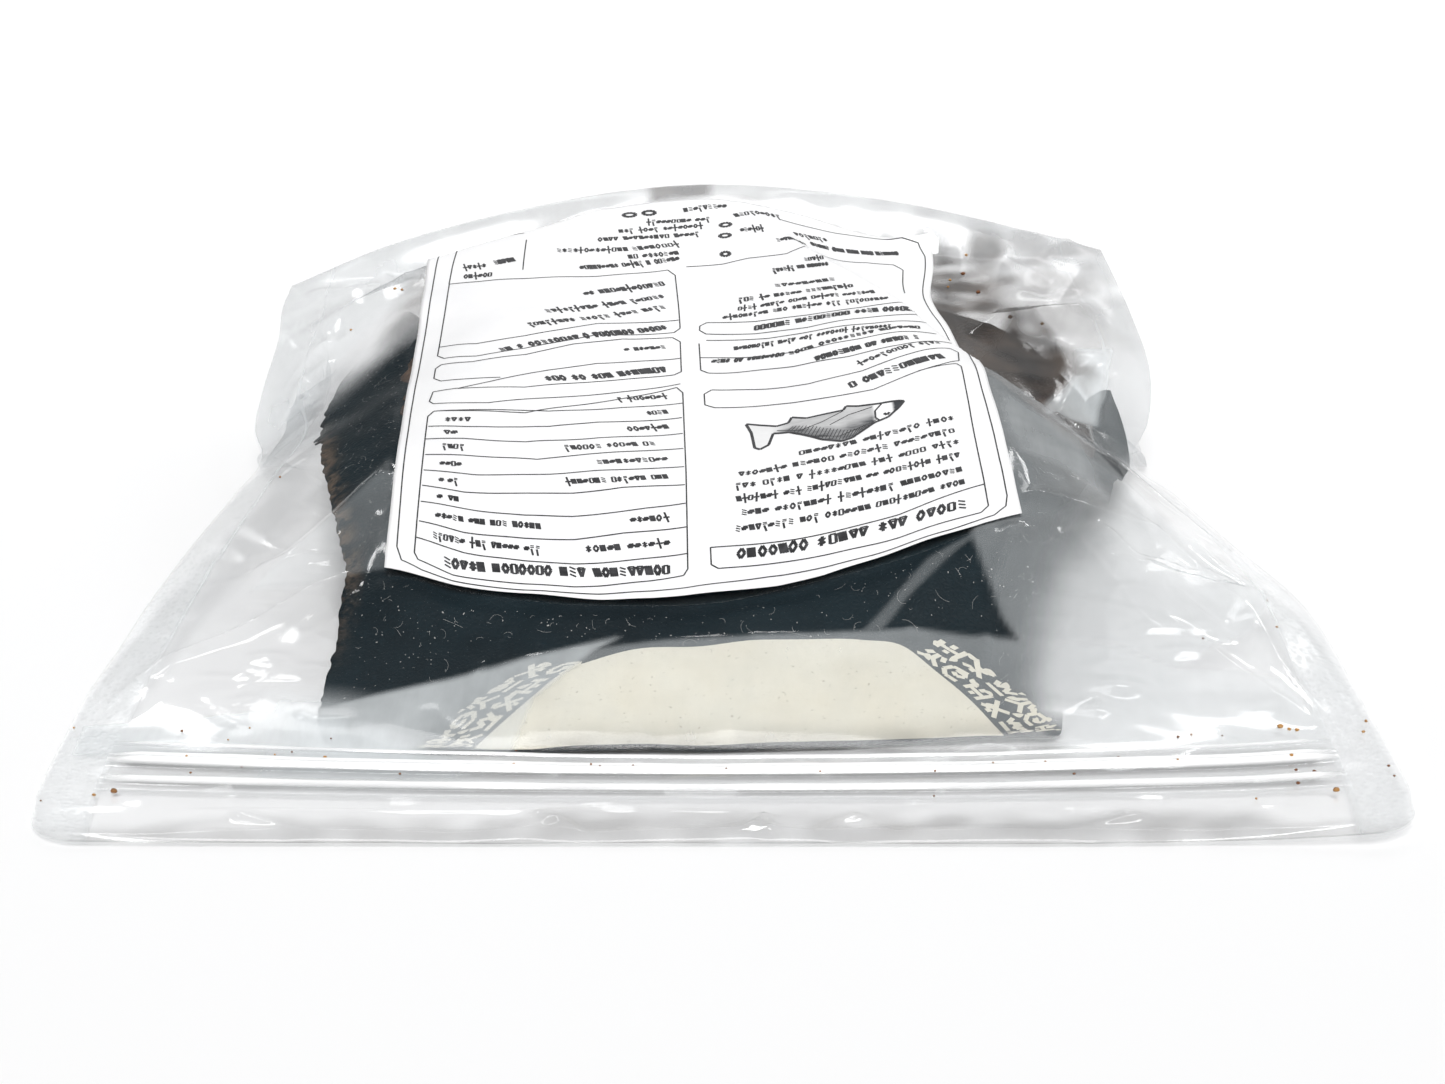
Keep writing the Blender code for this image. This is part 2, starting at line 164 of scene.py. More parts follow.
# Painted reflection: zones where a milky white veil is painted on the film where it mirrors the soft boxes:
# share of milk, how soft the border is in millimetres, and the outline.
PAINTED_VEIL_ZONES = (
    (0.24, 0.9, ((-52, 66), (-39, 70), (-13, 74), (11, 75), (44, 76), (59, 74), (68, 74), (90, 75),
                 (103, 71),
                 (128, 72), (133, 52), (133, 42), (-52, 42))),
    (0.48, 1.3, ((-142, 40), (-142, 54), (-110, 56), (-89, 58), (-72, 62), (-55, 66), (-46, 69),
                 (-37, 71.5),
                 (-24, 75), (-32, 68), (-42, 58), (-46, 40))),
    (0.22, 1.0, ((58, 98), (61, 87), (64, 79), (68, 73), (90, 75), (103, 71), (108, 74), (124, 90),
                 (133, 112),
                 (112, 125), (100, 141), (89, 163), (68, 192), (66, 146), (66, 114), (60, 103))),
    (0.36, 6.0, ((66, 140), (70, 168), (92, 158), (95, 122), (84, 128), (72, 130))),
    (0.75, 9.0, ((-99, 30), (-58, 30), (-64, 46), (-74, 52), (-86, 57), (-99, 60))),
    (0.13, 0.8, ((30, 74), (36, 75.5), (42, 82.7), (58.5, 97), (65, 102), (48, 92))),
    (0.14, 1.2, ((-72, 141), (-86, 129), (-95, 121), (-104, 114), (-112, 105), (-100, 99), (-90, 98),
                 (-74, 96))),
    (0.26, 6.0, ((-130, 196), (-112, 204), (-104, 222), (-90, 238), (-82, 250), (-82, 298), (-126, 292))),
    (0.26, 6.0, ((84, 256), (98, 248), (104, 240), (116, 238), (112, 298), (66, 298), (70, 280))),
    (0.50, 1.6, ((98, 233), (108.8, 234.4), (105, 219), (101.4, 204), (86, 196), (87, 203), (97, 219))),
)
# Where the film is pulled taut over the card's clear front.
TAUT = ((-85, 70), (-85, 96), (-60, 89), (0, 87), (35, 92), (58, 99), (62, 76), (0, 76), (-60, 68))
# Smears of dark oil and smoke on the inside of the film, and painted shade: grey and brown patches where
# the film looks darker, and a dark line along the mouth's edge as a painted contact shadow: share, softness
# and outline as above.
SMEARS_AND_PAINTED_SHADE = (
    (0.85, 9.0, ((50, 222), (54, 262), (62, 288), (74, 278), (84, 262), (84, 248), (76, 238), (66, 222))),
    (0.97, 4.0, ((66, 206), (74, 224), (80, 241), (87, 245), (92, 240), (96, 232), (96, 222), (91, 211),
                 (84, 208), (76, 196))),
    (0.50, 3.0, ((91, 240), (100, 232), (103, 222), (99, 214), (92, 214), (95, 226))),
    (0.45, 6.0, ((-92, 222), (-88, 250), (-80, 262), (-74, 250), (-74, 224))),
    (0.55, 3.0, ((-22, 290), (-3, 290), (-3, 301), (-22, 301))),
    (0.13, 7.0, ((-128, 284), (0, 284), (112, 284), (112, 303), (0, 303), (-128, 303))),
    (0.38, 14.0, ((56, 240), (92, 232), (112, 240), (112, 290), (56, 296))),
    (0.08, 14.0, ((-130, 236), (-92, 250), (-86, 300), (-130, 300))),
    (0.15, 3.0, ((-150, -3), (150, -3), (150, 4), (90, 12), (-90, 12), (-150, 4))),
    (0.24, 5.0, ((-40, 3), (120, 3), (110, 14), (-40, 14))),
    (0.20, 5.0, ((-44, 38), (74, 38), (72, 50), (20, 48), (-40, 48))),
    (0.62, 5.0, ((54, 262), (56, 291), (82, 289), (90, 272), (84, 262))),
    # Painted contact shadow: a dark line along the mouth's edge.
    (0.45, 0.5, ((-150, -3), (150, -3), (150, 0.5), (-150, 0.5))),
)
# The label's near edge as x and distance from the mouth, and its two far corners.
LABEL_NEAR_EDGE = np.array(((-0.0790, 0.0952), (-0.0600, 0.0876), (-0.0400, 0.0846), (-0.0150, 0.0847),
                            (0.0150, 0.0883), (0.0430, 0.0934), (0.0704, 0.1040)))
LABEL_FAR_LEFT = np.array((-0.0840, 0.2740))
LABEL_FAR_RIGHT = np.array((0.0615, 0.2880))


def read_curve(knots, values, at):
    """The smooth curve through the values at the knots, read at many places at once."""
    slopes = np.gradient(values, knots, axis=0)
    at = np.clip(at, knots[0], knots[-1])
    i = np.clip(np.searchsorted(knots, at) - 1, 0, len(knots) - 2)
    width = knots[i + 1] - knots[i]
    t = (at - knots[i]) / width
    if values.ndim > 1:
        width, t = width[..., None], t[..., None]
    start = (1 + 2 * t) * (1 - t) ** 2 * values[i] + t * (1 - t) ** 2 * width * slopes[i]
    end = t ** 2 * (3 - 2 * t) * values[i + 1] + t ** 2 * (t - 1) * width * slopes[i + 1]
    return start + end


def read_heights(heights, across):
    """The same smooth curve over ACROSS, where each place has a row of heights of its own."""
    slopes = np.gradient(heights, ACROSS, axis=-1)
    i = np.clip(np.searchsorted(ACROSS, across) - 1, 0, len(ACROSS) - 2)
    width = ACROSS[i + 1] - ACROSS[i]
    t = (across - ACROSS[i]) / width

    def pick(rows, step):
        return np.take_along_axis(rows, (i + step)[..., None], -1)[..., 0]
    start = (1 + 2 * t) * (1 - t) ** 2 * pick(heights, 0) + t * (1 - t) ** 2 * width * pick(slopes, 0)
    end = t ** 2 * (3 - 2 * t) * pick(heights, 1) + t ** 2 * (t - 1) * width * pick(slopes, 1)
    return start + end


def ease(low, high, value):
    """0 below low, 1 above high, and smooth between them."""
    t = np.clip((value - low) / (high - low), 0.0, 1.0)
    return t * t * (3 - 2 * t)


def plain_film(across, along):
    """The film without its small folds: x, distance from the mouth, and height."""
    across, along = np.broadcast_arrays(np.asarray(across, float), np.asarray(along, float))
    section = read_curve(SECTIONS[:, 0], SECTIONS[:, 1:], along)
    left, right = section[..., 0], section[..., 1]
    x = (left + right) / 2 + across * (right - left) / 2
    from_corner = np.maximum(np.abs(x) - (HALF_MOUTH - CORNER_INSET - CORNER_RADIUS), 0.0)
    rounding = CORNER_RADIUS - np.sqrt(np.maximum(CORNER_RADIUS ** 2 - from_corner ** 2, 0.0))
    y = along + rounding * np.maximum(1 - along / (2 * CORNER_RADIUS), 0.0)
    y = y - FAR_CORNER_SETBACK * across ** 2 * np.maximum(along - GUSSET_START, 0) / (LENGTH - GUSSET_START)
    drop = np.zeros_like(x)
    for fold in LONG_FOLDS:
        line = read_curve(fold[:, 0], fold[:, 1:], x)
        behind = np.maximum(along - line[..., 0], 0.0)
        inside = (x >= fold[0, 0]) & (x <= fold[-1, 0])
        drop += inside * np.maximum(line[..., 1], 0.0) * (1 - np.exp(-behind / FOLD_WIDTH))
    drop *= (1 - ease(LENGTH - FOLD_END, LENGTH, along)) * (1 - across ** 6)
    return x, y, read_heights(section[..., 2:], across) - drop


def place_on_film(x, y):
    """Across and along for points that are given in plan."""
    x, y = np.broadcast_arrays(np.asarray(x, float), np.asarray(y, float))
    along = y.copy()
    for _ in range(14):
        ends = read_curve(SECTIONS[:, 0], SECTIONS[:, 1:3], along)
        across = np.clip((2 * x - ends[..., 0] - ends[..., 1]) / (ends[..., 1] - ends[..., 0]), -1, 1)
        along = np.clip(along + y - plain_film(across, along)[1], 0, LENGTH)
    return across, along


def film_height(x, y):
    """Height of the plain film over points that are given in plan."""
    return plain_film(*place_on_film(x, y))[2]


def label_sides(y):
    """x of the label's left and right edge at a distance from the mouth."""
    near_left, near_right = LABEL_NEAR_EDGE[0], LABEL_NEAR_EDGE[-1]
    lean_left = (LABEL_FAR_LEFT - near_left)[0] / (LABEL_FAR_LEFT - near_left)[1]
    lean_right = (LABEL_FAR_RIGHT - near_right)[0] / (LABEL_FAR_RIGHT - near_right)[1]
    return near_left[0] + lean_left * (y - near_left[1]), near_right[0] + lean_right * (y - near_right[1])


def under_label(x, y, edge=0.004):
    """1 under the label, 0 away from it."""
    left, right = label_sides(y)
    near = read_curve(LABEL_NEAR_EDGE[:, 0], LABEL_NEAR_EDGE[:, 1], x)
    far = LABEL_FAR_LEFT[1] + (x - left) / (right - left) * (LABEL_FAR_RIGHT - LABEL_FAR_LEFT)[1]
    inside = np.minimum(np.minimum(x - left, right - x), np.minimum(y - near, far - y))
    return ease(-edge, 0.0, inside)


def fold_relief(x, y, height, width, points):
    """Height of one small fold, sharp along its line and fading at its ends."""
    best = np.full(x.shape, 1e9)
    share = np.zeros(x.shape)
    line = np.array(points, float) * MM
    steps = np.hypot(*np.diff(line, axis=0).T)
    before = np.concatenate(((0.0,), np.cumsum(steps)))
    for i, step in enumerate(steps):
        way = (line[i + 1] - line[i]) / step
        t = np.clip((x - line[i, 0]) * way[0] + (y - line[i, 1]) * way[1], 0.0, step)
        gap = np.hypot(x - line[i, 0] - t * way[0], y - line[i, 1] - t * way[1])
        nearer = gap < best
        best = np.where(nearer, gap, best)
        share = np.where(nearer, (before[i] + t) / before[-1], share)
    fade = ease(0.0, 0.22, share) * ease(0.0, 0.22, 1 - share)
    return height * MM * fade * np.exp(-best / (width * MM))


def inside_zone(x, y, outline, blur):
    """1 inside an outline given in millimetres, 0 outside, with a border as soft as blur."""
    corners = np.array(outline, float) * MM
    inside = np.zeros(x.shape, bool)
    gap = np.full(x.shape, 1e9)
    for (x0, y0), (x1, y1) in zip(corners, np.roll(corners, -1, 0)):
        crosses = (y0 > y) != (y1 > y)
        inside ^= crosses & (x < x0 + (y - y0) / (y1 - y0 + 1e-12) * (x1 - x0))
        t = np.clip(((x - x0) * (x1 - x0) + (y - y0) * (y1 - y0)) / ((x1 - x0) ** 2 + (y1 - y0) ** 2), 0, 1)
        gap = np.minimum(gap, np.hypot(x - x0 - t * (x1 - x0), y - y0 - t * (y1 - y0)))
    return ease(-blur * MM, blur * MM, np.where(inside, gap, -gap))


def waves(x, y, seed, longest, shortest, count):
    """A smooth random field from about -1 to 1, made of long and short waves."""
    chance = np.random.RandomState(seed)
    total = np.zeros(np.broadcast(x, y).shape)
    for _ in range(count):
        length = math.exp(chance.uniform(math.log(shortest), math.log(longest)))
        turn, shift = chance.uniform(0, 2 * math.pi, 2)
        total += np.cos((x * math.cos(turn) + y * math.sin(turn)) * 2 * math.pi / length + shift)
    return total / math.sqrt(count)


def small_crinkles():
    """Short sharp random folds in millimetres, mostly pulled towards the mouth on the front slope."""
    chance = np.random.RandomState(11)
    found = []
    for _ in range(110):
        x, y = chance.uniform(-138, 134), chance.uniform(50, 292)
        lean = chance.normal(90 - 0.35 * x, 26) if y < 150 else chance.uniform(0, 180)
        half = chance.uniform(6, 30) / 2
        dx, dy = half * math.cos(math.radians(lean)), half * math.sin(math.radians(lean))
        bend_x, bend_y = chance.uniform(-2, 2, 2)
        points = ((x - dx, y - dy), (x + bend_x, y + bend_y), (x + dx, y + dy))
        found.append((chance.uniform(0.10, 0.42), chance.uniform(0.8, 2.0), *points))
    return found


def to_frame(x, y, z):
    """Points in the model's frame, whose origin lies half the pouch's length from the mouth."""
    return np.stack((x, y - LENGTH / 2, z), -1)


def film_point(across, along):
    """The film with all its folds, as points in the model's frame."""
    x, y, z = plain_film(across, along)
    relief = BROAD_WAVE * waves(x, y, 5, 0.080, 0.030, 24)
    relief += FINE_WAVE * waves(x, y, 6, 0.018, 0.008, 30)
    for height, width, *points in (*SMALL_FOLDS, *small_crinkles()):
        relief += fold_relief(x, y, height, width, points)
    over_zip = ease(0.012, 0.017, y) * (1 - ease(0.042, 0.050, y))
    smooth_rim = 1 - 0.9 * across ** 10
    near_mouth = 0.35 + 0.65 * ease(0.0, 0.012, along)
    relief *= 1 - 0.75 * inside_zone(x, y, TAUT, 4.0)
    relief *= smooth_rim * (1 - 0.9 * over_zip) * near_mouth
    covered = under_label(x, y)
    pressed_flat = np.clip(0.06 * relief, -0.0002, 0.0)
    relief = relief * (1 - covered) + covered * pressed_flat - PRESS_UNDER_LABEL * covered
    return to_frame(x, y, np.maximum(z + relief, LOWEST_FILM))


class Wire:
    """A socket in a finish. Sums written with it add Math nodes, and node() adds any other kind."""

    def __init__(self, tree, socket=None):
        self.tree = tree
        self.socket = socket

    def node(self, kind, settings=None, sockets=None, output=0):
        """A new node: settings first, then sockets by name or number, each a number or a Wire."""
        made = self.tree.nodes.new(kind)
        for name, value in (settings or {}).items():
            if name == "stops":
                ramp = made.color_ramp.elements
                ramp[0].position, ramp[1].position = value[0][0], value[-1][0]
                ramp[0].color, ramp[1].color = (*value[0][1], 1), (*value[-1][1], 1)
                for position, colour in value[1:-1]:
                    ramp.new(position).color = (*colour, 1)
            else:
                setattr(made, name, value)
        for name, value in (sockets or {}).items():
            if isinstance(value, Wire):
                self.tree.links.new(value.socket, made.inputs[name])
            else:
                made.inputs[name].default_value = value
        return Wire(self.tree, made.outputs[output])

    def maths(self, operation, first, second=0.0):
        return self.node("ShaderNodeMath", {"operation": operation}, {0: first, 1: second})

    def __add__(self, other):
        return self.maths("ADD", self, other)

    __radd__ = __add__

    def __mul__(self, other):
        return self.maths("MULTIPLY", self, other)

    __rmul__ = __mul__

    def __sub__(self, other):
        return self.maths("SUBTRACT", self, other)

    def __rsub__(self, other):
        return self.maths("SUBTRACT", other, self)

    def __pow__(self, other):
        return self.maths("POWER", self, other)

    def between(self, low, high):
        """0 below low, 1 above high, smooth between."""
        return self.node("ShaderNodeMapRange", {"interpolation_type": "SMOOTHSTEP"},
                         {"Value": self, "From Min": low, "From Max": high})

    def noise(self, scale, detail=2.0, rough=0.5, at=None):
        """Noise of a scale in waves per metre."""
        place = at or self.object_place()
        return self.node("ShaderNodeTexNoise", None, {
            "Vector": place, "Scale": scale, "Detail": detail, "Roughness": rough}, "Fac")

    def object_place(self):
        return self.node("ShaderNodeTexCoord", None, None, "Object")

    def stretched_place(self, scale, turn=0.0):
        """The object's own place, scaled on each axis, for a pattern that is drawn out one way."""
        return self.node("ShaderNodeMapping", None, {
            "Vector": self.object_place(), "Rotation": (0, 0, turn), "Scale": scale})

    def mark(self, name):
        """A value that the mesh carries at its points."""
        return self.node("ShaderNodeAttribute", {"attribute_name": name}, None, "Fac")

    def blend(self, share, first, second, kind="MIX"):
        """A mix of two colours, each a Wire or three numbers."""
        first, second = [c if isinstance(c, Wire) else (*c, 1.0) for c in (first, second)]
        return self.node("ShaderNodeMix", {"data_type": "RGBA", "blend_type": kind},
                         {0: share, 6: first, 7: second}, 2)

    def relief(self, height, strength, depth, over=None):
        """A Bump node: depth is the real depth in metres of a height of 1."""
        sockets = {"Height": height, "Strength": strength, "Distance": depth}
        if over:
            sockets["Normal"] = over
        return self.node("ShaderNodeBump", None, sockets)

    def surface(self, colour, roughness, normal=None, ior=1.5, alpha=1.0):
        """A Principled surface. The colour is a Wire or three numbers."""
        sockets = {"Base Color": colour if isinstance(colour, Wire) else (*colour, 1.0),
                   "Roughness": roughness, "IOR": ior, "Alpha": alpha}
        if normal:
            sockets["Normal"] = normal
        return self.node("ShaderNodeBsdfPrincipled", None, sockets)

    def mix(self, share, first, second):
        return self.node("ShaderNodeMixShader", None, {0: share, 1: first, 2: second})

    def see_through(self, tint, roughness, normal):
        """Thin clear plastic: tinted where light passes, and a gloss that grows with the slant."""
        clear = self.node("ShaderNodeBsdfTransparent", None, {"Color": (*tint, 1.0)})
        gloss = self.node("ShaderNodeBsdfGlossy", None, {
            "Color": (1, 1, 1, 1), "Roughness": roughness, "Normal": normal})
        slant = self.node("ShaderNodeLayerWeight", None, {"Blend": 0.5, "Normal": normal}, "Facing")
        return self.mix(slant ** 5 * 0.45 + 0.06, clear, gloss)


def new_finish(name):
    material = bpy.data.materials.new(name)
    material.use_nodes = True
    material.node_tree.nodes.clear()
    return material, Wire(material.node_tree)


def end_finish(material, shader):
    outlet = material.node_tree.nodes.new("ShaderNodeOutputMaterial")
    material.node_tree.links.new(shader.socket, outlet.inputs["Surface"])


def mesh_piece(name, points, faces, material, marks=None):
    """A new smooth piece that rides on the pouch, with values at its points if marks gives any."""
    mesh = bpy.data.meshes.new(name)
    mesh.from_pydata(np.asarray(points).reshape(-1, 3).tolist(), [], [list(f) for f in faces])
    mesh.shade_smooth()
    for mark, values in (marks or {}).items():
        kept = mesh.attributes.new(mark, "FLOAT", "POINT")
        kept.data.foreach_set("value", np.asarray(values, np.float32).ravel())
    mesh.materials.append(material)
    piece = bpy.data.objects.new(name, mesh)
    bpy.context.scene.collection.objects.link(piece)
    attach(piece, "root")
    return piece


def grid_faces(rows, columns, start=0, closed=False):
    """Quads of a grid of points, row by row. Closed joins each row's last point to its first."""
    index = np.arange(rows * columns).reshape(rows, columns) + start
    if closed:
        index = np.concatenate((index, index[:, :1]), 1)
    return np.stack((index[:-1, :-1], index[:-1, 1:], index[1:, 1:], index[1:, :-1]), -1).reshape(-1, 4)


def sheet_piece(name, points, material, marks=None):
    return mesh_piece(name, points, grid_faces(*points.shape[:2]), material, marks)


MILK_AND_VEIL_WHITE = (0.745, 0.785, 0.80)
BLACK_OIL_AND_SHADE = (0.028, 0.026, 0.025)
BROWN_OIL_AND_SHADE = (0.090, 0.070, 0.056)


def clear_film(name, tint):
    """Clear glossy plastic film: see-through, milky where marked, with painted white veils in place of
    reflections, dark where marked with oil smears and painted shade, embossed in the seals.
    """
    material, start = new_finish(name)
    place = start.object_place()
    cloud = start.noise(34, 3, 0.6, place)
    streaks = start.noise(260, 4, 0.65, start.stretched_place((1.0, 0.16, 1.0), 0.5))
    fine = start.noise(900, 2, 0.5, place)
    dots = start.node("ShaderNodeTexVoronoi", None, {"Vector": place, "Scale": 620.0}, "Distance")
    pressed = (1 - dots.between(0.15, 0.55)) * start.mark("dotted")
    wrinkled = start.relief(streaks + fine * 0.25, 0.20, 0.00012)
    normal = start.relief(pressed, 0.30, 0.0002, wrinkled)
    film = start.see_through(tint, cloud * 0.11 + 0.035 + start.mark("seal") * 0.12, normal)
    milk_and_veil = start.surface(MILK_AND_VEIL_WHITE, 0.32, normal, 1.45)
    # Dark oil smears and painted shade share one dark brown-black surface.
    oil_and_shade_colour = start.blend(cloud.between(0.35, 0.7), BLACK_OIL_AND_SHADE, BROWN_OIL_AND_SHADE)
    oil_and_shade_surface = start.surface(oil_and_shade_colour, cloud * 0.2 + 0.4, normal, 1.45)
    # Milky share: real milkiness in the seals and pressed dots, and painted white veils in place of
    # reflections in the marked zones.
    share = start.mark("haze") * (cloud * 1.1 + streaks * 0.3 + 0.30) + pressed * 0.07
    end_finish(material, start.mix(start.mark("smear"), start.mix(share, film, milk_and_veil), oil_and_shade_surface))
    return material


def film_grid(down, columns):
    """Across and along for a film whose points crowd at its sides. Down gives each row's place."""
    u = np.linspace(-1, 1, columns)[None, :]
    return np.broadcast_arrays(1.15 * u - 0.15 * u ** 3, LENGTH * down[:, None])


def rim_nearness(across, along):
    """Distance of the film's points from the pouch's side and far rims."""
    ends = read_curve(SECTIONS[:, 0], SECTIONS[:, 1:3], along)
    side = (1 - np.abs(across)) * (ends[..., 1] - ends[..., 0]) / 2
    return side, LENGTH - along


def seal_share(from_side, from_far):
    """1 on the sealed rims, 0 on the free film."""
    at_side = 1 - ease(SEAL_WIDTH - 0.001, SEAL_WIDTH + 0.0006, from_side)
    return np.maximum(at_side, 1 - ease(FAR_SEAL_WIDTH, FAR_SEAL_WIDTH + 0.0015, from_far))


down = np.linspace(0, 1, FILM_ROWS)
across, along = film_grid(0.45 * down + 0.55 * down ** 2, FILM_COLUMNS)
top = film_point(across, along)
plan_x, plan_y = top[..., 0], top[..., 1] + LENGTH / 2
from_side, from_far = rim_nearness(across, along)
seal = seal_share(from_side, from_far)
dotted = seal * (1 - ease(0.170, 0.215, plan_y))
seal_line = np.exp(-((from_side - SEAL_WIDTH) / SEAL_LINE_WIDTH) ** 2)
haze = 0.006 + 0.15 * seal + 0.30 * seal_line
# Painted reflection: white veils painted in the listed zones.
for milk_and_veil, blur, outline in PAINTED_VEIL_ZONES:
    haze = np.maximum(haze, milk_and_veil * inside_zone(plan_x, plan_y, outline, blur))
smear = np.zeros_like(haze)
# Dark oil smears and painted shade, laid in the listed zones.
for dark, blur, outline in SMEARS_AND_PAINTED_SHADE:
    smear = np.maximum(smear, dark * inside_zone(plan_x, plan_y, outline, blur))
smear = smear * np.clip(0.9 + 0.3 * waves(plan_x, plan_y, 14, 0.030, 0.008, 20), 0.3, 1.1)
upper_film = sheet_piece("upper_film", top, clear_film("clear_upper_film", (0.992, 0.993, 0.994)),
                         {"haze": haze, "seal": seal, "dotted": dotted, "smear": smear})
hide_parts("bag")


# Lower film: the pouch's back sheet, of the same clear plastic. It lies on the table and rises
# to the upper sheet along the side seals and the lips of the mouth.
FILM_PAIR = 0.001
LIP_END = 0.046
UNDERSIDE_FLAT = 0.82
FLOOR_GAP = 0.0002
LAYER_GAP = 0.0003
PUCKER = 0.0009
BACK_ROWS = 130
BACK_COLUMNS = 130


def underside_height(across, along, top_height):
    """Height of the back sheet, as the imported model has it."""
    edge = plain_film(np.sign(across) + (across == 0), along)[2] - FILM_PAIR
    sealed = 1 - ease(GUSSET_START, GUSSET_START + 0.028, along)
    at_seal = edge * sealed * ease(UNDERSIDE_FLAT, 1.0, np.abs(across))
    at_lip = (top_height - FILM_PAIR) * (1 - ease(CORNER_RADIUS, LIP_END, along))
    return np.maximum(np.maximum(at_seal, at_lip), 0.0)


across, along = film_grid(np.linspace(0, 1, BACK_ROWS), BACK_COLUMNS)
x, y, z = plain_film(across, along)
low = underside_height(across, along, z)
pucker = PUCKER * np.clip(waves(x, y, 21, 0.05, 0.012, 20), 0, None)
pucker += sum(fold_relief(x, y, *fold[:2], fold[2:]) for fold in small_crinkles()[:60])
low = low + pucker * (1 - across ** 8) * ease(0.0, 0.03, along) * ease(0.0, 0.02, LENGTH - along)
seal = seal_share(*rim_nearness(across, along))
bottom = to_frame(x, y, np.minimum(low + FLOOR_GAP, z - LAYER_GAP))
lower_film = sheet_piece("lower_film", bottom, clear_film("clear_lower_film", (0.993, 0.994, 0.995)),
                         {"haze": 0.02 + 0.05 * seal, "seal": seal})
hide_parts("bag")


# Gusset: the pleat of clear film that closes the pouch's far end and the last third of its
# sides. It is tucked in between the two sheets and crumpled.
GUSSET_TUCK = 0.014
GUSSET_CRUMPLE = 0.0016
GUSSET_ROWS = 26
SIDE_COLUMNS = 70
FAR_COLUMNS = 188
side_along = np.linspace(GUSSET_START, LENGTH, SIDE_COLUMNS)
far_across = np.linspace(1, -1, FAR_COLUMNS + 2)[1:-1]
rim_across = np.concatenate((np.ones(SIDE_COLUMNS), far_across, -np.ones(SIDE_COLUMNS)))
rim_along = np.concatenate((side_along, np.full(FAR_COLUMNS, LENGTH), side_along[::-1]))
x, y, z = plain_film(rim_across, rim_along)
low = np.minimum(underside_height(rim_across, rim_along, z) + FLOOR_GAP, z)
level = np.linspace(0, 1, GUSSET_ROWS)[:, None]
tuck = GUSSET_TUCK * ease(GUSSET_START, LENGTH - 0.04, rim_along) * np.sin(math.pi * level) ** 0.8
at_far_end = ease(LENGTH - 0.06, LENGTH, rim_along)
around = np.cumsum(np.hypot(np.diff(x, prepend=x[0]), np.diff(y, prepend=y[0])))
crumple = GUSSET_CRUMPLE * waves(around[None, :] + 0 * level, level * 0.04, 31, 0.05, 0.012, 26)
crumple = crumple * np.sin(math.pi * level) * ease(GUSSET_START, GUSSET_START + 0.03, rim_along)
side_x = x - (tuck + crumple) * rim_across ** 5
far_y = y - tuck * at_far_end - crumple * at_far_end
gusset_points = to_frame(side_x, far_y, z * (1 - level) + low * level)
seal = (1 - ease(0.03, 0.05, level)) + 0 * x
gusset_material = clear_film("clear_gusset_film", (0.94, 0.943, 0.947))
gusset_film = sheet_piece("gusset_film", gusset_points, gusset_material,
                          {"haze": 0.06 + 0.08 * seal, "seal": seal})
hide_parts("bag")


# Zip: two ribbed strips of thicker milky plastic, pressed together and welded to the film just
# inside the mouth. Each strip has a tall rib, a flange and a press line.
ZIP_HALF_LENGTH = 0.1335
ZIP_NEAR = 0.0185
ZIP_NEAR_BOW = 0.0040
ZIP_FAR = 0.0370
ZIP_FAR_BOW = 0.0085
ZIP_ROWS = 90
ZIP_COLUMNS = 260
# Share of the strips' width, and height over the film in millimetres.
ZIP_PROFILE = np.array((
    (0.00, 0.15), (0.03, 0.40), (0.13, 0.45), (0.16, 0.50), (0.20, 1.15), (0.24, 1.35), (0.28, 1.15),
    (0.32, 0.50), (0.36, 0.42), (0.50, 0.42), (0.54, 0.60), (0.58, 1.50), (0.62, 1.75), (0.66, 1.50),
    (0.69, 1.20), (0.72, 1.50), (0.75, 1.20), (0.79, 0.50), (0.84, 0.42), (0.925, 0.42), (0.95, 1.10),
    (0.975, 1.00), (1.00, 0.10),
))
DULL_RIB = (0.95, 0.955, 0.96)
BRIGHT_RIB = (0.99, 0.99, 0.99)


def zip_edges(u):
    """Distance of the strips' near and far edge from the mouth, at -1 to 1 across the pouch."""
    return ZIP_NEAR + ZIP_NEAR_BOW * u ** 2, ZIP_FAR + ZIP_FAR_BOW * u ** 2


u = np.linspace(-1, 1, ZIP_COLUMNS)[None, :]
share = np.linspace(0, 1, ZIP_ROWS)[:, None]
near, far = zip_edges(u)
x = np.broadcast_to(u * ZIP_HALF_LENGTH, (ZIP_ROWS, ZIP_COLUMNS))
y = near + (far - near) * share
swell = np.interp(share, ZIP_PROFILE[:, 0], ZIP_PROFILE[:, 1]) * MM
uneven = 1 + 0.05 * waves(x, y * 0, 41, 0.08, 0.02, 16)
swell = swell * uneven * (0.5 + 0.5 * ease(0, 0.06, 1 - np.abs(u)))
zip_points = to_frame(x, y, film_height(x, y) + 0.0002 + swell)
zip_material, start = new_finish("milky_zip_plastic")
drawn = start.noise(300, 3, 0.6, start.stretched_place((0.06, 1.6, 1.0)))
normal = start.relief(drawn, 0.06, 0.0002)
rib_plastic = start.surface(start.blend(drawn, DULL_RIB, BRIGHT_RIB), drawn * 0.2 + 0.12, normal)
rib_share = start.mark("rib") * 0.86 + drawn * 0.05 + 0.05
flange_plastic = start.see_through((0.975, 0.978, 0.98), 0.1, normal)
end_finish(zip_material, start.mix(rib_share, flange_plastic, rib_plastic))
rib = np.clip((swell / MM - 0.5) / 0.8, 0, 1) + 0 * x
zip_strips = sheet_piece("zip_strips", zip_points, zip_material, {"rib": rib})
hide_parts("zip_profile")


# Catfish: one whole dried and smoked fish, bent into a ring so that it fits the pouch. The skin
# is dark brown, leathery and wrinkled, with a broad flat head at the right.
RING_CENTRE = (0.0, 0.184)
RING_RADIUS = 0.077
RING_SWAY = 0.004
SNOUT_ANGLE = -4.0
FISH_TURN = 300.0
FISH_LIFT = 0.0015
FISH_FILM_GAP = 0.0030
FISH_ROWS = 300
FISH_COLUMNS = 72
SKIN_LENGTH = 0.35
SKIN_GIRTH = 0.018
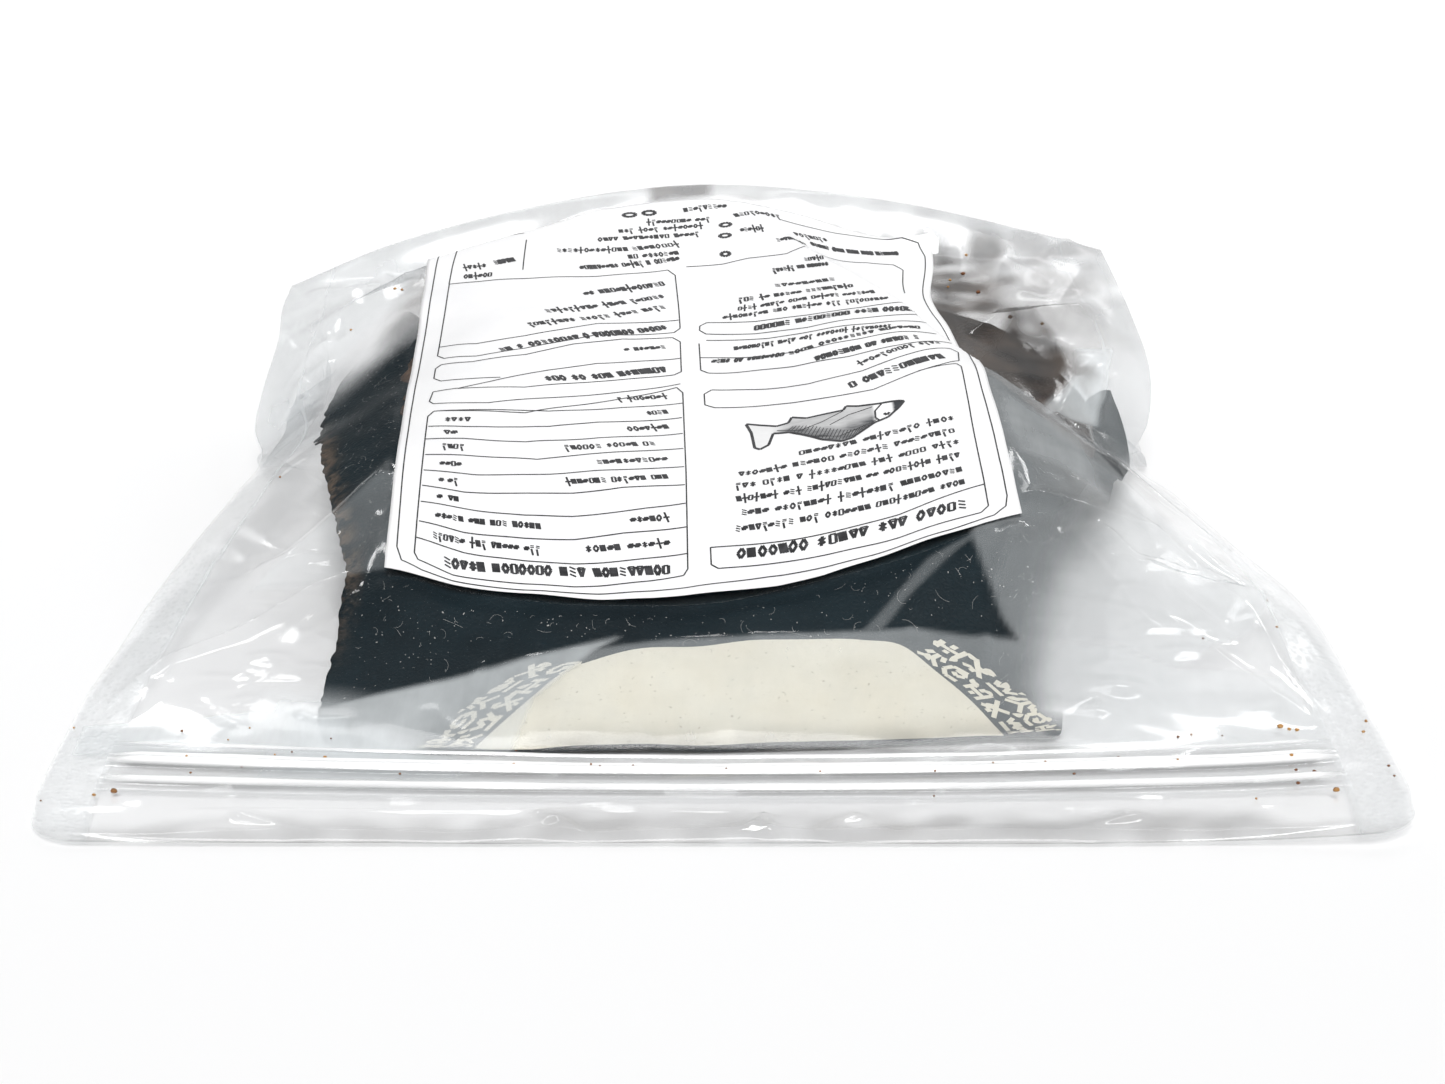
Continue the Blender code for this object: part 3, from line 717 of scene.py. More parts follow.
# Share of the length, half width, half height.
BODY = np.array((
    (0.000, 0.0030, 0.0020), (0.010, 0.0130, 0.0065), (0.035, 0.0195, 0.0110), (0.080, 0.0235, 0.0160),
    (0.130, 0.0240, 0.0185), (0.180, 0.0215, 0.0195), (0.280, 0.0200, 0.0225), (0.380, 0.0195, 0.0240),
    (0.500, 0.0180, 0.0220), (0.620, 0.0150, 0.0185), (0.740, 0.0115, 0.0150), (0.860, 0.0075, 0.0115),
    (0.950, 0.0045, 0.0090), (1.000, 0.0030, 0.0080),
))
BLACK_SKIN = (0.012, 0.008, 0.006)
BROWN_SKIN = (0.055, 0.033, 0.022)
SKIN_WRINKLE = (0.12, 0.075, 0.05)
BELLY_SKIN = (0.20, 0.135, 0.09)


def ring_place(share, outward):
    """Plan position at a share of the fish's length and a distance outward from its backbone."""
    turn = np.radians(SNOUT_ANGLE + FISH_TURN * share)
    reach = RING_RADIUS + outward + RING_SWAY * np.sin(3.1 * turn + 0.6)
    return RING_CENTRE[0] + reach * np.cos(turn), RING_CENTRE[1] + reach * np.sin(turn)


def body_size(share):
    """Half width and half height of the fish at shares of its length."""
    return read_curve(BODY[:, 0], BODY[:, 1], share), read_curve(BODY[:, 0], BODY[:, 2], share)


def bump(value, middle, width):
    """1 at the middle, falling smoothly to 0 on both sides."""
    return np.exp(-((value - middle) / width) ** 2)


share = np.linspace(0, 1, FISH_ROWS)[:, None]
turn = np.linspace(0, 2 * math.pi, FISH_COLUMNS, endpoint=False)[None, :]
half_width, half_height = body_size(share)
side = np.sign(np.cos(turn)) * np.abs(np.cos(turn)) ** 0.86
rise = np.sign(np.sin(turn)) * np.abs(np.sin(turn)) ** 0.90
on_skin = (share * SKIN_LENGTH + 0 * turn, turn * SKIN_GIRTH)
skin = 1 + 0.030 * waves(*on_skin, 51, 0.05, 0.010, 24)
skin += 0.012 * waves(*on_skin, 52, 0.009, 0.003, 40)
skin = skin - 0.09 * bump(share, 0.155 + 0.018 * np.cos(turn), 0.0045) * (np.sin(turn) < 0.45)
ridge = 0.05 * bump(turn, math.pi / 2, 0.16) * ease(0.18, 0.3, share)
beside_ridge = -0.06 * bump(np.abs(turn - math.pi / 2), 0.42, 0.2) * ease(0.15, 0.3, share)
x, y = ring_place(share, half_width * side * skin)
backbone = FISH_LIFT + half_height + 0.002 * ease(0.7, 1.0, share)
z = backbone + half_height * rise * (skin + ridge + beside_ridge)
across, along = place_on_film(x, y)
room = plain_film(across, along)[2]
z = np.minimum(z, room - FISH_FILM_GAP)
z = np.maximum(z, underside_height(across, along, room) + 0.0007 + 0.0002 * np.cos(9 * turn))
snout_cap = list(range(FISH_COLUMNS))
tail_cap = list(range((FISH_ROWS - 1) * FISH_COLUMNS, FISH_ROWS * FISH_COLUMNS))[::-1]
fish_faces = [*grid_faces(FISH_ROWS, FISH_COLUMNS, closed=True), snout_cap, tail_cap]
fish_material, start = new_finish("smoked_fish_skin")
place = start.object_place()
patch = start.noise(55, 4, 0.6, place)
wrinkle = start.noise(230, 5, 0.7, place)
grain = start.noise(1100, 2, 0.5, place)
base = start.blend(patch.between(0.35, 0.7), BLACK_SKIN, BROWN_SKIN)
base = start.blend(wrinkle.between(0.45, 0.75) * 0.5, base, SKIN_WRINKLE)
base = start.blend(start.mark("belly") * 0.6, base, BELLY_SKIN)
normal = start.relief(wrinkle * 0.7 + grain * 0.3, 0.8, 0.0014)
end_finish(fish_material, start.surface(base, wrinkle * 0.35 + 0.32, normal, 1.45))
belly = np.broadcast_to(bump(turn, 1.5 * math.pi, 0.8), z.shape)
catfish_body = mesh_piece("catfish_body", to_frame(x, y, z), fish_faces, fish_material, {"belly": belly})
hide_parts("catfish")


# Fins of the catfish: thin dried skin with stiff rays. The long back fin lies down along the body,
# and the tail is a ragged fan.
FIN_THICKNESS = 0.0006
TAIL_THICKNESS = 0.0009
FIN_FILM_GAP = 0.0022
FIN_LOWEST = 0.0008
TAIL_ROOT_SHARE = 0.985
TAIL_LENGTH_SHARE = 0.105
TAIL_HEIGHT = 0.0115
# Share of the fish's length at each fin's start and end, where its foot lies as shares of the half
# width and of the half height over the middle, reach outward and upward, number of rays, and seed.
FINS = {
    "back_fin": (0.30, 0.95, 0.15, 0.90, 0.0075, 0.0030, 54, 61),
    "belly_fin": (0.48, 0.95, 0.55, -0.72, 0.0070, -0.0010, 40, 63),
    "chest_fin": (0.165, 0.215, 0.95, -0.45, 0.0150, 0.0005, 9, 65),
}
fin_material, start = new_finish("dried_fin_skin")
place = start.object_place()
patch = start.noise(160, 4, 0.65, place)
base = start.blend(patch.between(0.35, 0.65), (0.030, 0.018, 0.012), (0.15, 0.09, 0.055))
normal = start.relief(start.noise(700, 3, 0.6, place), 0.6, 0.0006)
end_finish(fin_material, start.surface(base, patch * 0.3 + 0.4, normal, 1.45))


def thicken(piece, thickness, offset):
    """Real thickness for a sheet: offset -1 grows it downward, 0 to both sides."""
    solid = piece.modifiers.new("thickness", "SOLIDIFY")
    solid.thickness, solid.offset = thickness, offset


def fin_piece(name, x, y, z, thickness):
    """A fin or tail kept under the film, dressed in dried skin."""
    points = to_frame(x, y, z)
    room = film_height(points[..., 0], points[..., 1] + LENGTH / 2)
    points[..., 2] = np.clip(points[..., 2], FIN_LOWEST, np.maximum(room - FIN_FILM_GAP, 0.001))
    piece = sheet_piece(name, points, fin_material)
    thicken(piece, thickness, 0.0)
    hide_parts("catfish")


for name, (first, last, foot_out, foot_height, reach_out, reach_up, rays, seed) in FINS.items():
    share = np.linspace(first, last, rays * 4 + 1)[None, :]
    rise = np.linspace(0, 1, 9)[:, None]
    along_fin = (share - first) / (last - first)
    shape = np.sin(math.pi * np.clip(along_fin, 0.02, 0.98)) ** 0.35
    ragged = 1 + 0.16 * waves(share * 0.4, 0 * share, seed, 0.02, 0.004, 14) * rise
    half_width, half_height = body_size(share)
    x, y = ring_place(share, half_width * foot_out + reach_out * rise * shape * ragged)
    z = FISH_LIFT + half_height * (1 + foot_height) + reach_up * np.sin(rise * 1.4) * shape * ragged
    z = z + 0.0004 * np.cos(along_fin * rays * 2 * math.pi) * rise
    z = z + 0.0008 * waves(share * 0.4 + 0 * rise, rise * 0.006, seed + 1, 0.03, 0.01, 10)
    fin_piece(name, x, y, z, FIN_THICKNESS)
out = np.linspace(0, 1, 26)[:, None]
fan = np.linspace(-1, 1, 49)[None, :]
ragged = 1 - 0.10 * fan ** 2 + 0.03 * waves(fan * 0.05, 0 * fan, 67, 0.02, 0.004, 12)
sway = 0.0035 * out * np.sin(5 * fan) + 0.002 * out * fan
x, y = ring_place(TAIL_ROOT_SHARE + TAIL_LENGTH_SHARE * out * ragged, sway)
z = TAIL_HEIGHT + (0.0065 + 0.010 * out ** 0.7) * fan + 0.0004 * np.cos(fan * 60) * out
fin_piece("tail_fin", x, y, z, TAIL_THICKNESS)


# Card: a dark green-black printed insert on thick leathery board, laid over the fish right under
# the film. Its left edge is torn and shows brown.
CARD_LEFT = np.array(((-74, 42), (-86, 46), (-90, 54), (-90, 66), (-89, 84), (-89, 102), (-93, 120),
                      (-99, 146), (-104, 172), (-107, 192), (-105, 209), (-98, 224), (-90, 235))) * MM
CARD_RIGHT = np.array(((73, 48), (75, 50), (76, 58), (76, 67), (78, 76), (81, 88), (86, 104),
                       (92, 120), (97, 142), (102, 168), (107, 190), (110.5, 205), (107.5, 226))) * MM
CARD_GAP = 0.0013
CARD_LOWEST = 0.0009
CARD_THICKNESS = 0.00035
CARD_ROWS = 190
CARD_COLUMNS = 150
GREEN_BLACK = (0.0008, 0.0072, 0.0110)
FADED_BLACK = (0.0030, 0.0138, 0.0195)
HIDE_GREY = (0.012, 0.026, 0.034)
WORN_GREY = (0.030, 0.042, 0.048)
BOARD_BROWN = (0.21, 0.15, 0.105)
along_card = np.linspace(0, 1, CARD_ROWS)
knots = np.linspace(0, 1, len(CARD_LEFT))
left = read_curve(knots, CARD_LEFT, along_card)
right = read_curve(knots, CARD_RIGHT, along_card)
torn = 0.00035 * waves(left[:, 0] * 0, left[:, 1], 81, 0.02, 0.003, 30) * ease(0.10, 0.2, along_card)
ragged = waves(left[:, 1], 0 * left[:, 1], 82, 0.010, 0.003, 10)
torn += 0.0012 * bump(left[:, 1], 0.185, 0.016) * ragged
left[:, 0] += torn
s = np.linspace(0, 1, CARD_COLUMNS)[None, :, None]
plan = left[:, None] * (1 - s) + right[:, None] * s
s, up = s[..., 0], along_card[:, None]
plan[..., 1] -= 0.022 * ease(0.0, 0.09, s) * ease(0.0, 0.09, 1 - s) * ease(0.80, 1.0, up)
plan[..., 1] -= 0.002 * np.sin(math.pi * s) * (1 - ease(0.0, 0.12, up))


def card_height(x, y):
    """Height of the card's face: close under the film, and smoother than it."""
    relief = np.clip(0.0006 * waves(x, y, 83, 0.05, 0.015, 20), -0.0009, 0.0006)
    gap = CARD_GAP + 0.0030 * ease(0.062, 0.100, x) * ease(0.06, 0.09, y)
    return film_height(x, y) - gap + relief - 0.0008 * under_label(x, y)


def on_card(x, y, lift=0.0):
    """Points of the model's frame on the card's face, or a lift over it."""
    return to_frame(x, y, np.maximum(card_height(x, y), CARD_LOWEST) + lift)


# Where the painted white veil on the film in front hides the card's corners and its right edge, the card
# fades to see-through.
veil = (1 - ease(0.0, 0.085, s)) * ease(0.74, 0.90, up)
veil = np.maximum(veil, (1 - ease(0.0, 0.11, 1 - s)) * ease(0.04, 0.16, up) * (1 - ease(0.62, 0.70, up)))
veil = np.maximum(veil, 0.9 * (1 - ease(0.0, 0.05, s)) * (1 - ease(0.05, 0.12, up)))
card_material, start = new_finish("dark_printed_board")
place = start.object_place()
cloud = start.noise(28, 4, 0.6, place)
leather = start.node("ShaderNodeTexVoronoi", {"feature": "DISTANCE_TO_EDGE"},
                     {"Vector": place, "Scale": 760.0}, "Distance")
hide = start.noise(520, 4, 0.6, place)
worn = start.noise(150, 5, 0.7, place)
board_edge = (1 - start.mark("inward").between(0.0, 0.034)) * start.mark("worn_side")
base = start.blend(cloud.between(0.3, 0.7), GREEN_BLACK, FADED_BLACK)
base = start.blend(hide.between(0.56, 0.74) * 0.3, base, HIDE_GREY)
base = start.blend(worn.between(0.60, 0.80) * 0.5, base, WORN_GREY)
base = start.blend(board_edge * worn.between(0.40, 0.60) * 0.65, base, BOARD_BROWN)
normal = start.relief(hide * 0.7 + leather.between(0.0, 0.3) * 0.3, 0.5, 0.0005)
end_finish(card_material, start.surface(base, hide * 0.25 + 0.45, normal, 1.22, 1 - start.mark("veil")))
worn_side = ease(0.25, 0.45, up) * (1 - ease(0.62, 0.80, up))
card = sheet_piece("card", on_card(plan[..., 0], plan[..., 1]), card_material,
                   {"inward": np.minimum(s, 0.06) + 0 * up, "worn_side": worn_side + 0 * s, "veil": veil})
thicken(card, CARD_THICKNESS, -1.0)


# Print on the card: a bare cream panel with a rounded top at the mouth end, and on each side of it a
# band of border ornament in the same cream ink, with leaves, coils, forks and zigzags.
PRINT_LIFT = 0.00012
ORNAMENT_LIFT = 1.6 * PRINT_LIFT
PANEL_TOP = np.array(((-54.5, 43.6), (-53, 46), (-47, 54), (-40, 64), (-35, 68.4), (-29, 71), (-13, 74),
                      (11, 75.4), (32, 75.2), (43, 73), (50, 66), (56, 58), (61, 49), (62, 47.4))) * MM
PANEL_FOOT = np.array(((-54.5, 43.4), (-24, 43.8), (22, 45.8), (62, 47.2))) * MM
CREAM = (0.85, 0.81, 0.685)
DULL_CREAM = (0.795, 0.745, 0.61)
CREAM_SPECK = (0.35, 0.30, 0.22)
panel_x = np.linspace(PANEL_TOP[0, 0], PANEL_TOP[-1, 0], 150)
foot_y = np.interp(panel_x, PANEL_FOOT[:, 0], PANEL_FOOT[:, 1])
rim_y = np.maximum(read_curve(PANEL_TOP[:, 0], PANEL_TOP[:, 1], panel_x), foot_y + 0.0001)
panel_y = foot_y + (rim_y - foot_y) * np.linspace(0, 1, 40)[:, None]
panel_x = np.broadcast_to(panel_x, panel_y.shape)
cream_material, start = new_finish("cream_print")
place = start.object_place()
mottle = start.noise(60, 4, 0.6, place)
specks = start.noise(900, 2, 0.5, place)
base = start.blend(mottle.between(0.3, 0.75), CREAM, DULL_CREAM)
base = start.blend(specks.between(0.66, 0.74) * 0.5, base, CREAM_SPECK)
normal = start.relief(start.noise(520, 4, 0.6, place), 0.3, 0.0004)
end_finish(cream_material, start.surface(base, mottle * 0.2 + 0.42, normal, 1.4))
sheet_piece("cream_panel", on_card(panel_x, panel_y, PRINT_LIFT), cream_material)

# The two border bands, in millimetres: inner rim beside the panel and outer rim, each from its foot up.
BANDS = (
    (((-54.5, 43.6), (-53, 46), (-47, 54), (-40, 64), (-29, 71)),
     ((-69, 43), (-65, 47), (-59, 56), (-52, 63), (-44, 69.5))),
    (((62, 47.4), (61, 49), (56, 58), (50, 66), (43, 73)),
     ((75, 50), (73, 54), (68, 61.5), (61, 69), (50, 76))),
)
BAND_LENGTH = 34.0
BAND_WIDTH = 12.5
CELLS_UP = 6
CELLS_OUT = 2
CELL_LENGTH = 5.6
CELL_WIDTH = 5.9
INK_WIDTH = 1.0


def band_point(run, out, band):
    """Plan position in a side band: run up from its foot and out from the panel, in millimetres."""
    inner, outer = [np.array(rim, float) * MM for rim in BANDS[band]]
    at = np.clip(run / BAND_LENGTH, 0, 1)
    knots = np.linspace(0, 1, len(inner))
    w = np.clip(out / BAND_WIDTH, 0, 1)
    near = read_curve(knots, inner, at)
    away = read_curve(knots, outer, at)
    return near[..., 0] * (1 - w) + away[..., 0] * w, near[..., 1] * (1 - w) + away[..., 1] * w


def flat_shape(outline, band):
    """Points and a face of one small printed shape, its outline in run and out, in millimetres."""
    run, out = np.array(outline, float).T
    return on_card(*band_point(run, out, band), ORNAMENT_LIFT), [list(range(len(outline)))]


def leaf(run, out, length, width, lean):
    """Outline of a pointed leaf."""
    t = np.linspace(0, 1, 9)
    side = width / 2 * np.sin(math.pi * t) ** 0.8
    bow = 0.18 * length * np.sin(math.pi * t)
    along_leaf = np.concatenate((t, t[-2:0:-1])) * length
    aside = np.concatenate((side, -side[-2:0:-1])) + np.concatenate((bow, bow[-2:0:-1]))
    c, d = math.cos(lean), math.sin(lean)
    return list(zip(run + along_leaf * c - aside * d, out + along_leaf * d + aside * c))


def bar(points, width):
    """Outlines of a bent bar, one four-sided shape for each stretch."""
    shapes = []
    for (a, b), (c, d) in zip(points[:-1], points[1:]):
        run = math.hypot(c - a, d - b)
        nx, ny = -(d - b) / run * width / 2, (c - a) / run * width / 2
        shapes.append([(a + nx, b + ny), (c + nx, d + ny), (c - nx, d - ny), (a - nx, b - ny)])
    return shapes


def joined(name, parts, material):
    """One piece from several lots of points and faces."""
    points, faces, count = [], [], 0
    for part_points, part_faces in parts:
        points.append(np.asarray(part_points, float).reshape(-1, 3))
        faces.extend([[i + count for i in face] for face in part_faces])
        count += len(points[-1])
    return mesh_piece(name, np.concatenate(points), faces, material)


# Ornaments in a cell of their own, in millimetres, each as lines: run and out.
COIL = (((0.8, 0.9), (3.4, 0.5), (5.0, 2.0), (4.6, 4.2), (2.4, 4.8), (1.2, 3.4), (2.2, 2.2), (3.4, 2.8)),)
FORK = (((0.5, 0.8), (2.6, 2.8), (4.9, 0.8)), ((2.6, 2.8), (2.6, 5.2)),
        ((0.8, 3.4), (1.6, 5.2)), ((4.4, 3.4), (3.6, 5.2)))
ZIGZAG = (((0.4, 4.8), (1.6, 2.6), (2.8, 4.8), (4.0, 2.6), (5.0, 4.4)), ((0.5, 1.2), (4.8, 1.2)))
CROSSED_STEMS = (((0.6, 0.6), (4.8, 4.9)), ((4.6, 0.8), (0.8, 4.6)), ((2.7, 0.4), (2.7, 1.6)))
COMB = (((0.7, 0.7), (0.7, 4.8)), ((0.7, 2.6), (4.8, 2.6)), ((2.6, 0.8), (2.6, 1.9)),
        ((2.6, 3.4), (2.6, 4.9)), ((4.5, 1.2), (4.5, 4.4)))
ORNAMENTS = (COIL, FORK, ZIGZAG, CROSSED_STEMS, COMB)
shapes = []
for band in range(len(BANDS)):
    for cell in range(CELLS_UP * CELLS_OUT):
        run = 0.4 + CELL_LENGTH * (cell // CELLS_OUT)
        out = 0.5 + CELL_WIDTH * (cell % CELLS_OUT)
        ornament = ORNAMENTS[(cell * 3 + band) % len(ORNAMENTS)]
        lines = [[(run + a, out + b) for a, b in line] for line in ornament]
        outlines = [shape for line in lines for shape in bar(line, INK_WIDTH)]
        outlines.append(leaf(run + 3.6, out + 3.4, 2.6, 1.5, 0.5 + cell))
        outlines.append(leaf(run + 0.6, out + 5.0, 2.4, 1.3, 0.2 + 2 * cell))
        shapes += [flat_shape(outline, band) for outline in outlines]
joined("border_print", shapes, cream_material)


# Dust on the card: white specks and short bent fibres of lint, scattered over the dark face where
# it shows. They lie on the board, held there by the film.
DUST_TRIES = 4200
FIBRE_EVERY = 4
DUST_LIFT = 0.0003
chance = np.random.RandomState(101)
dust_x = chance.uniform(-0.104, 0.104, DUST_TRIES)
dust_y = chance.uniform(0.050, 0.222, DUST_TRIES)
left_edge = np.interp(dust_y, CARD_LEFT[:, 1], CARD_LEFT[:, 0])
right_edge = np.interp(dust_y, CARD_RIGHT[:, 1], CARD_RIGHT[:, 0])
on_panel = (dust_y < 0.076) & (np.abs(dust_x) < 0.060)
kept = (left_edge + 0.004 < dust_x) & (dust_x < right_edge - 0.006)
kept &= ~on_panel & (under_label(dust_x, dust_y) < 0.5)
dust_x, dust_y = dust_x[kept][:, None], dust_y[kept][:, None]
count = len(dust_x)
is_fibre = (np.arange(count) % FIBRE_EVERY == 0)[:, None]
size = np.abs(chance.normal(0, 1, (count, 1)))
turn, bend = chance.uniform(0, math.pi, (count, 1)), chance.uniform(-0.7, 0.7, (count, 1))
reach = np.where(is_fibre, 0.0003 + 0.0010 * size, 0.00008 + 0.00006 * size)
half = np.where(is_fibre, 0.00002, 0.00004 + 0.00003 * size)
k = np.linspace(-1, 1, 7)[None, :]
angle = turn + bend * k
line_x = dust_x + reach * k * np.cos(angle)
line_y = dust_y + reach * k * np.sin(angle)
ribbons = np.stack([
    on_card(line_x - edge * half * np.sin(angle), line_y + edge * half * np.cos(angle), DUST_LIFT)
    for edge in (1, -1)], 1)
dust_material, start = new_finish("white_dust")
dust_colour = start.blend(start.noise(300), (0.16, 0.17, 0.17), (0.75, 0.74, 0.72))
end_finish(dust_material, start.surface(dust_colour, 0.7))
joined("card_dust", [(ribbon, grid_faces(2, 7)) for ribbon in ribbons], dust_material)


# Crumbs: small brown lumps that broke off the dried fish. They are caught in the zip and stuck to
# the film by a little oil.
# x, distance from the mouth, and radius, in millimetres.
CRUMBS = (
    (-119.6, 49.8, 0.35), (-104.6, 50.1, 0.25), (-102.6, 42.7, 0.3), (-108.7, 45.5, 0.22),
    (-116.0, 35.6, 0.35), (-114.3, 30.3, 0.3),
    (-133.1, 20.7, 0.4), (-129.2, 22.3, 0.75), (-97.3, 38.0, 0.25), (-93.7, 39.0, 0.22),
    (-86.1, 35.8, 0.45), (-86.0, 45.0, 0.2),
    (-103.6, 32.3, 0.2), (-69.2, 29.2, 0.3), (-44.9, 31.7, 0.3), (-28.3, 31.7, 0.3), (-26.3, 30.2, 0.2),
    (-19.2, 30.7, 0.22),
    (0.8, 29.3, 0.22), (-45.0, 39.7, 0.22), (-144.2, 52.8, 0.3), (-143.6, 17.6, 0.25), (20.9, 29.0, 0.3),
    (45.6, 29.5, 0.3),
    (44.7, 19.7, 0.25), (58.3, 32.6, 0.22), (69.6, 33.1, 0.25), (75.4, 29.2, 0.35), (85.6, 35.0, 0.22),
    (98.2, 33.5, 0.3),
    (100.2, 46.2, 0.35), (103.3, 47.2, 0.28), (110.1, 47.1, 0.22), (123.6, 51.3, 0.7),
    (125.4, 50.2, 0.45), (127.1, 49.9, 0.5),
    (130.6, 95.1, 0.35), (130.4, 107.6, 0.3), (123.1, 35.3, 0.45), (123.3, 30.7, 0.4),
    (126.8, 28.9, 0.45), (122.5, 24.4, 0.45),
    (130.0, 21.3, 0.7), (112.6, 18.5, 0.3), (143.4, 54.7, 0.4), (141.6, 49.1, 0.4), (143.1, 30.8, 0.35),
    (143.2, 25.7, 0.3),
    (110.9, 81.9, 0.35), (-92.1, 247.5, 0.5), (-89.8, 245.2, 0.45), (-103.4, 235.7, 0.4),
    (-113.9, 165.5, 0.35), (69.5, 270.3, 0.7),
    (72.9, 258.4, 0.7), (80.8, 243.9, 0.7), (89.6, 242.2, 0.55), (71.4, 283.4, 0.5), (65.4, 265.0, 0.45),
    (64.4, 259.7, 0.4),
)
x, y, radius = (np.array(CRUMBS) * MM).T[:, :, None, None]
near, far = zip_edges(x / ZIP_HALF_LENGTH)
on_zip = np.interp((y - near) / (far - near), ZIP_PROFILE[:, 0], ZIP_PROFILE[:, 1], 0, 0) * MM
level = film_height(x, y) + on_zip + 0.0003
turn = np.linspace(0, 2 * math.pi, 8, endpoint=False)
lift, turn = np.meshgrid(np.linspace(-1.5, 1.5, 6), turn, indexing="ij")
rough = radius * (1 + 0.25 * chance.uniform(-1, 1, (len(CRUMBS), *lift.shape)))
lump_x = x + rough * np.cos(lift) * np.cos(turn)
lump_y = y + 0.8 * rough * np.cos(lift) * np.sin(turn)
lumps = to_frame(lump_x, lump_y, level + 0.7 * rough * np.sin(lift))
crumb_material, start = new_finish("brown_crumb")
crumb_colour = start.blend(start.noise(120).between(0.4, 0.6), (0.16, 0.055, 0.015), (0.46, 0.24, 0.07))
end_finish(crumb_material, start.surface(crumb_colour, 0.5))
joined("crumbs", [(lump, grid_faces(6, 8, closed=True)) for lump in lumps], crumb_material)


# Label: a sheet of thin white paper as big as a small notebook page, stuck on the outside of the
# film. It follows the long folds and stands a little off the film along its edges.
LABEL_WIDTH = 150.0
LABEL_COLUMNS = 151
LABEL_ROWS = 206
LABEL_LIFT = 0.00045
LABEL_RIM_GAP = 0.0006
PAPER_THICKNESS = 0.00014
CURL = 0.0008
CURL_WIDTH = 5.0
PAPER_WAVE = 0.00016
PAPER_WHITE = (0.93, 0.93, 0.93)
PAPER_GREY = (0.89, 0.892, 0.90)
walk = np.arange(0.0, 0.216, 0.0005)
column_share = np.linspace(0, 1, LABEL_COLUMNS)
edge_x = LABEL_NEAR_EDGE[0, 0] + (LABEL_NEAR_EDGE[-1, 0] - LABEL_NEAR_EDGE[0, 0]) * column_share
edge_y = read_curve(LABEL_NEAR_EDGE[:, 0], LABEL_NEAR_EDGE[:, 1], edge_x)
far = LABEL_FAR_LEFT[None] * (1 - column_share[:, None]) + LABEL_FAR_RIGHT[None] * column_share[:, None]
lean = (far[:, 0] - edge_x) / (far[:, 1] - edge_y)
walk_y = np.minimum(edge_y[:, None] + walk[None], LENGTH - LABEL_RIM_GAP)
walk_x = edge_x[:, None] + lean[:, None] * walk[None]
walk_x -= 0.005 * column_share[:, None] ** 2 * bump(walk_y, 0.243, 0.025)
walk_z = film_height(walk_x, walk_y)
step = np.sqrt(np.diff(walk_x) ** 2 + np.diff(walk_y) ** 2 + np.diff(walk_z) ** 2)
paper_run = np.concatenate((np.zeros((LABEL_COLUMNS, 1)), np.cumsum(step, axis=1)), axis=1) / MM
label_end = np.array([np.interp(far[i, 1] - edge_y[i], walk, paper_run[i]) for i in range(LABEL_COLUMNS)])
rows = np.arange(0.0, label_end.max() + 2.0, 1.0)
table = np.zeros((LABEL_COLUMNS, len(rows), 3))
for i in range(LABEL_COLUMNS):
    away = np.interp(rows, paper_run[i], walk)
    table[i, :, 0] = np.interp(rows, paper_run[i], walk_x[i])
    table[i, :, 1] = np.minimum(edge_y[i] + away, LENGTH - LABEL_RIM_GAP)
    table[i, :, 2] = np.interp(rows, paper_run[i], walk_z[i])
in_s = np.linspace(0, LABEL_WIDTH, LABEL_COLUMNS)[:, None]
to_edge = np.minimum(np.minimum(in_s, LABEL_WIDTH - in_s), np.minimum(rows, label_end[:, None] - rows))
uneven = 0.6 + 0.5 * waves(in_s * MM, rows * MM, 91, 0.06, 0.02, 14)
curl = CURL * np.exp(-np.maximum(to_edge, 0) / CURL_WIDTH) * uneven
paper_wave = PAPER_WAVE * (1 + waves(in_s * MM, rows * MM, 92, 0.05, 0.015, 22))
table[..., 2] += LABEL_LIFT + np.clip(curl, 0, None) + np.clip(paper_wave, 0, None)
table[..., 1] -= LENGTH / 2


def label_point(s, t, lift=0.0):
    """A point of the label's face: s from its left edge, t from its near edge, in millimetres."""
    s, t = np.broadcast_arrays(np.asarray(s, float), np.asarray(t, float))
    at = np.clip(s / LABEL_WIDTH * (LABEL_COLUMNS - 1), 0, LABEL_COLUMNS - 1.001)
    i, j = at.astype(int), np.clip(t, 0, len(rows) - 1.001).astype(int)
    a, b = (at - i)[..., None], (np.clip(t, 0, len(rows) - 1.001) - j)[..., None]
    flat = table[i, j] * (1 - a) * (1 - b) + table[i + 1, j] * a * (1 - b)
    flat = flat + table[i, j + 1] * (1 - a) * b + table[i + 1, j + 1] * a * b
    cross = np.cross(table[i + 1, j] - table[i, j], table[i, j + 1] - table[i, j])
    return flat + cross / np.linalg.norm(cross, axis=-1, keepdims=True) * lift


paper_s = np.linspace(0, LABEL_WIDTH, LABEL_COLUMNS)[None, :]
paper_t = np.linspace(0, 1, LABEL_ROWS)[:, None] * np.interp(paper_s, in_s[:, 0], label_end)
paper_material, start = new_finish("white_label_paper")
place = start.object_place()
fibre = start.noise(1400, 3, 0.6, place)
cloud = start.noise(45, 3, 0.5, place)
base = start.blend(cloud.between(0.3, 0.7), PAPER_WHITE, PAPER_GREY)
normal = start.relief(fibre * 0.5 + start.noise(160, 3, 0.5, place) * 0.5, 0.25, 0.0003)
end_finish(paper_material, start.surface(base, fibre * 0.2 + 0.5, normal, 1.4))
label = sheet_piece("label_sheet", label_point(paper_s, paper_t), paper_material)
thicken(label, PAPER_THICKNESS, -1.0)
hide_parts("label")


# Print on the label: flat black ink in thin frames and rules, rows of small dark shapes, and a
# drawing of a fish. The shapes are boxes, diamonds, ticks and waves, with no letter among them.
INK_LIFT = 0.00009
FRAME_PEN = 0.36
HEADING_PEN = 0.80
BOLD_PEN = 0.64
SMALL_PEN = 0.52
RING_PEN = 1.2
SMALL_HEIGHT = 1.95
FINE_SHARE = 0.6
WORD_GAP = 0.8
strokes = []


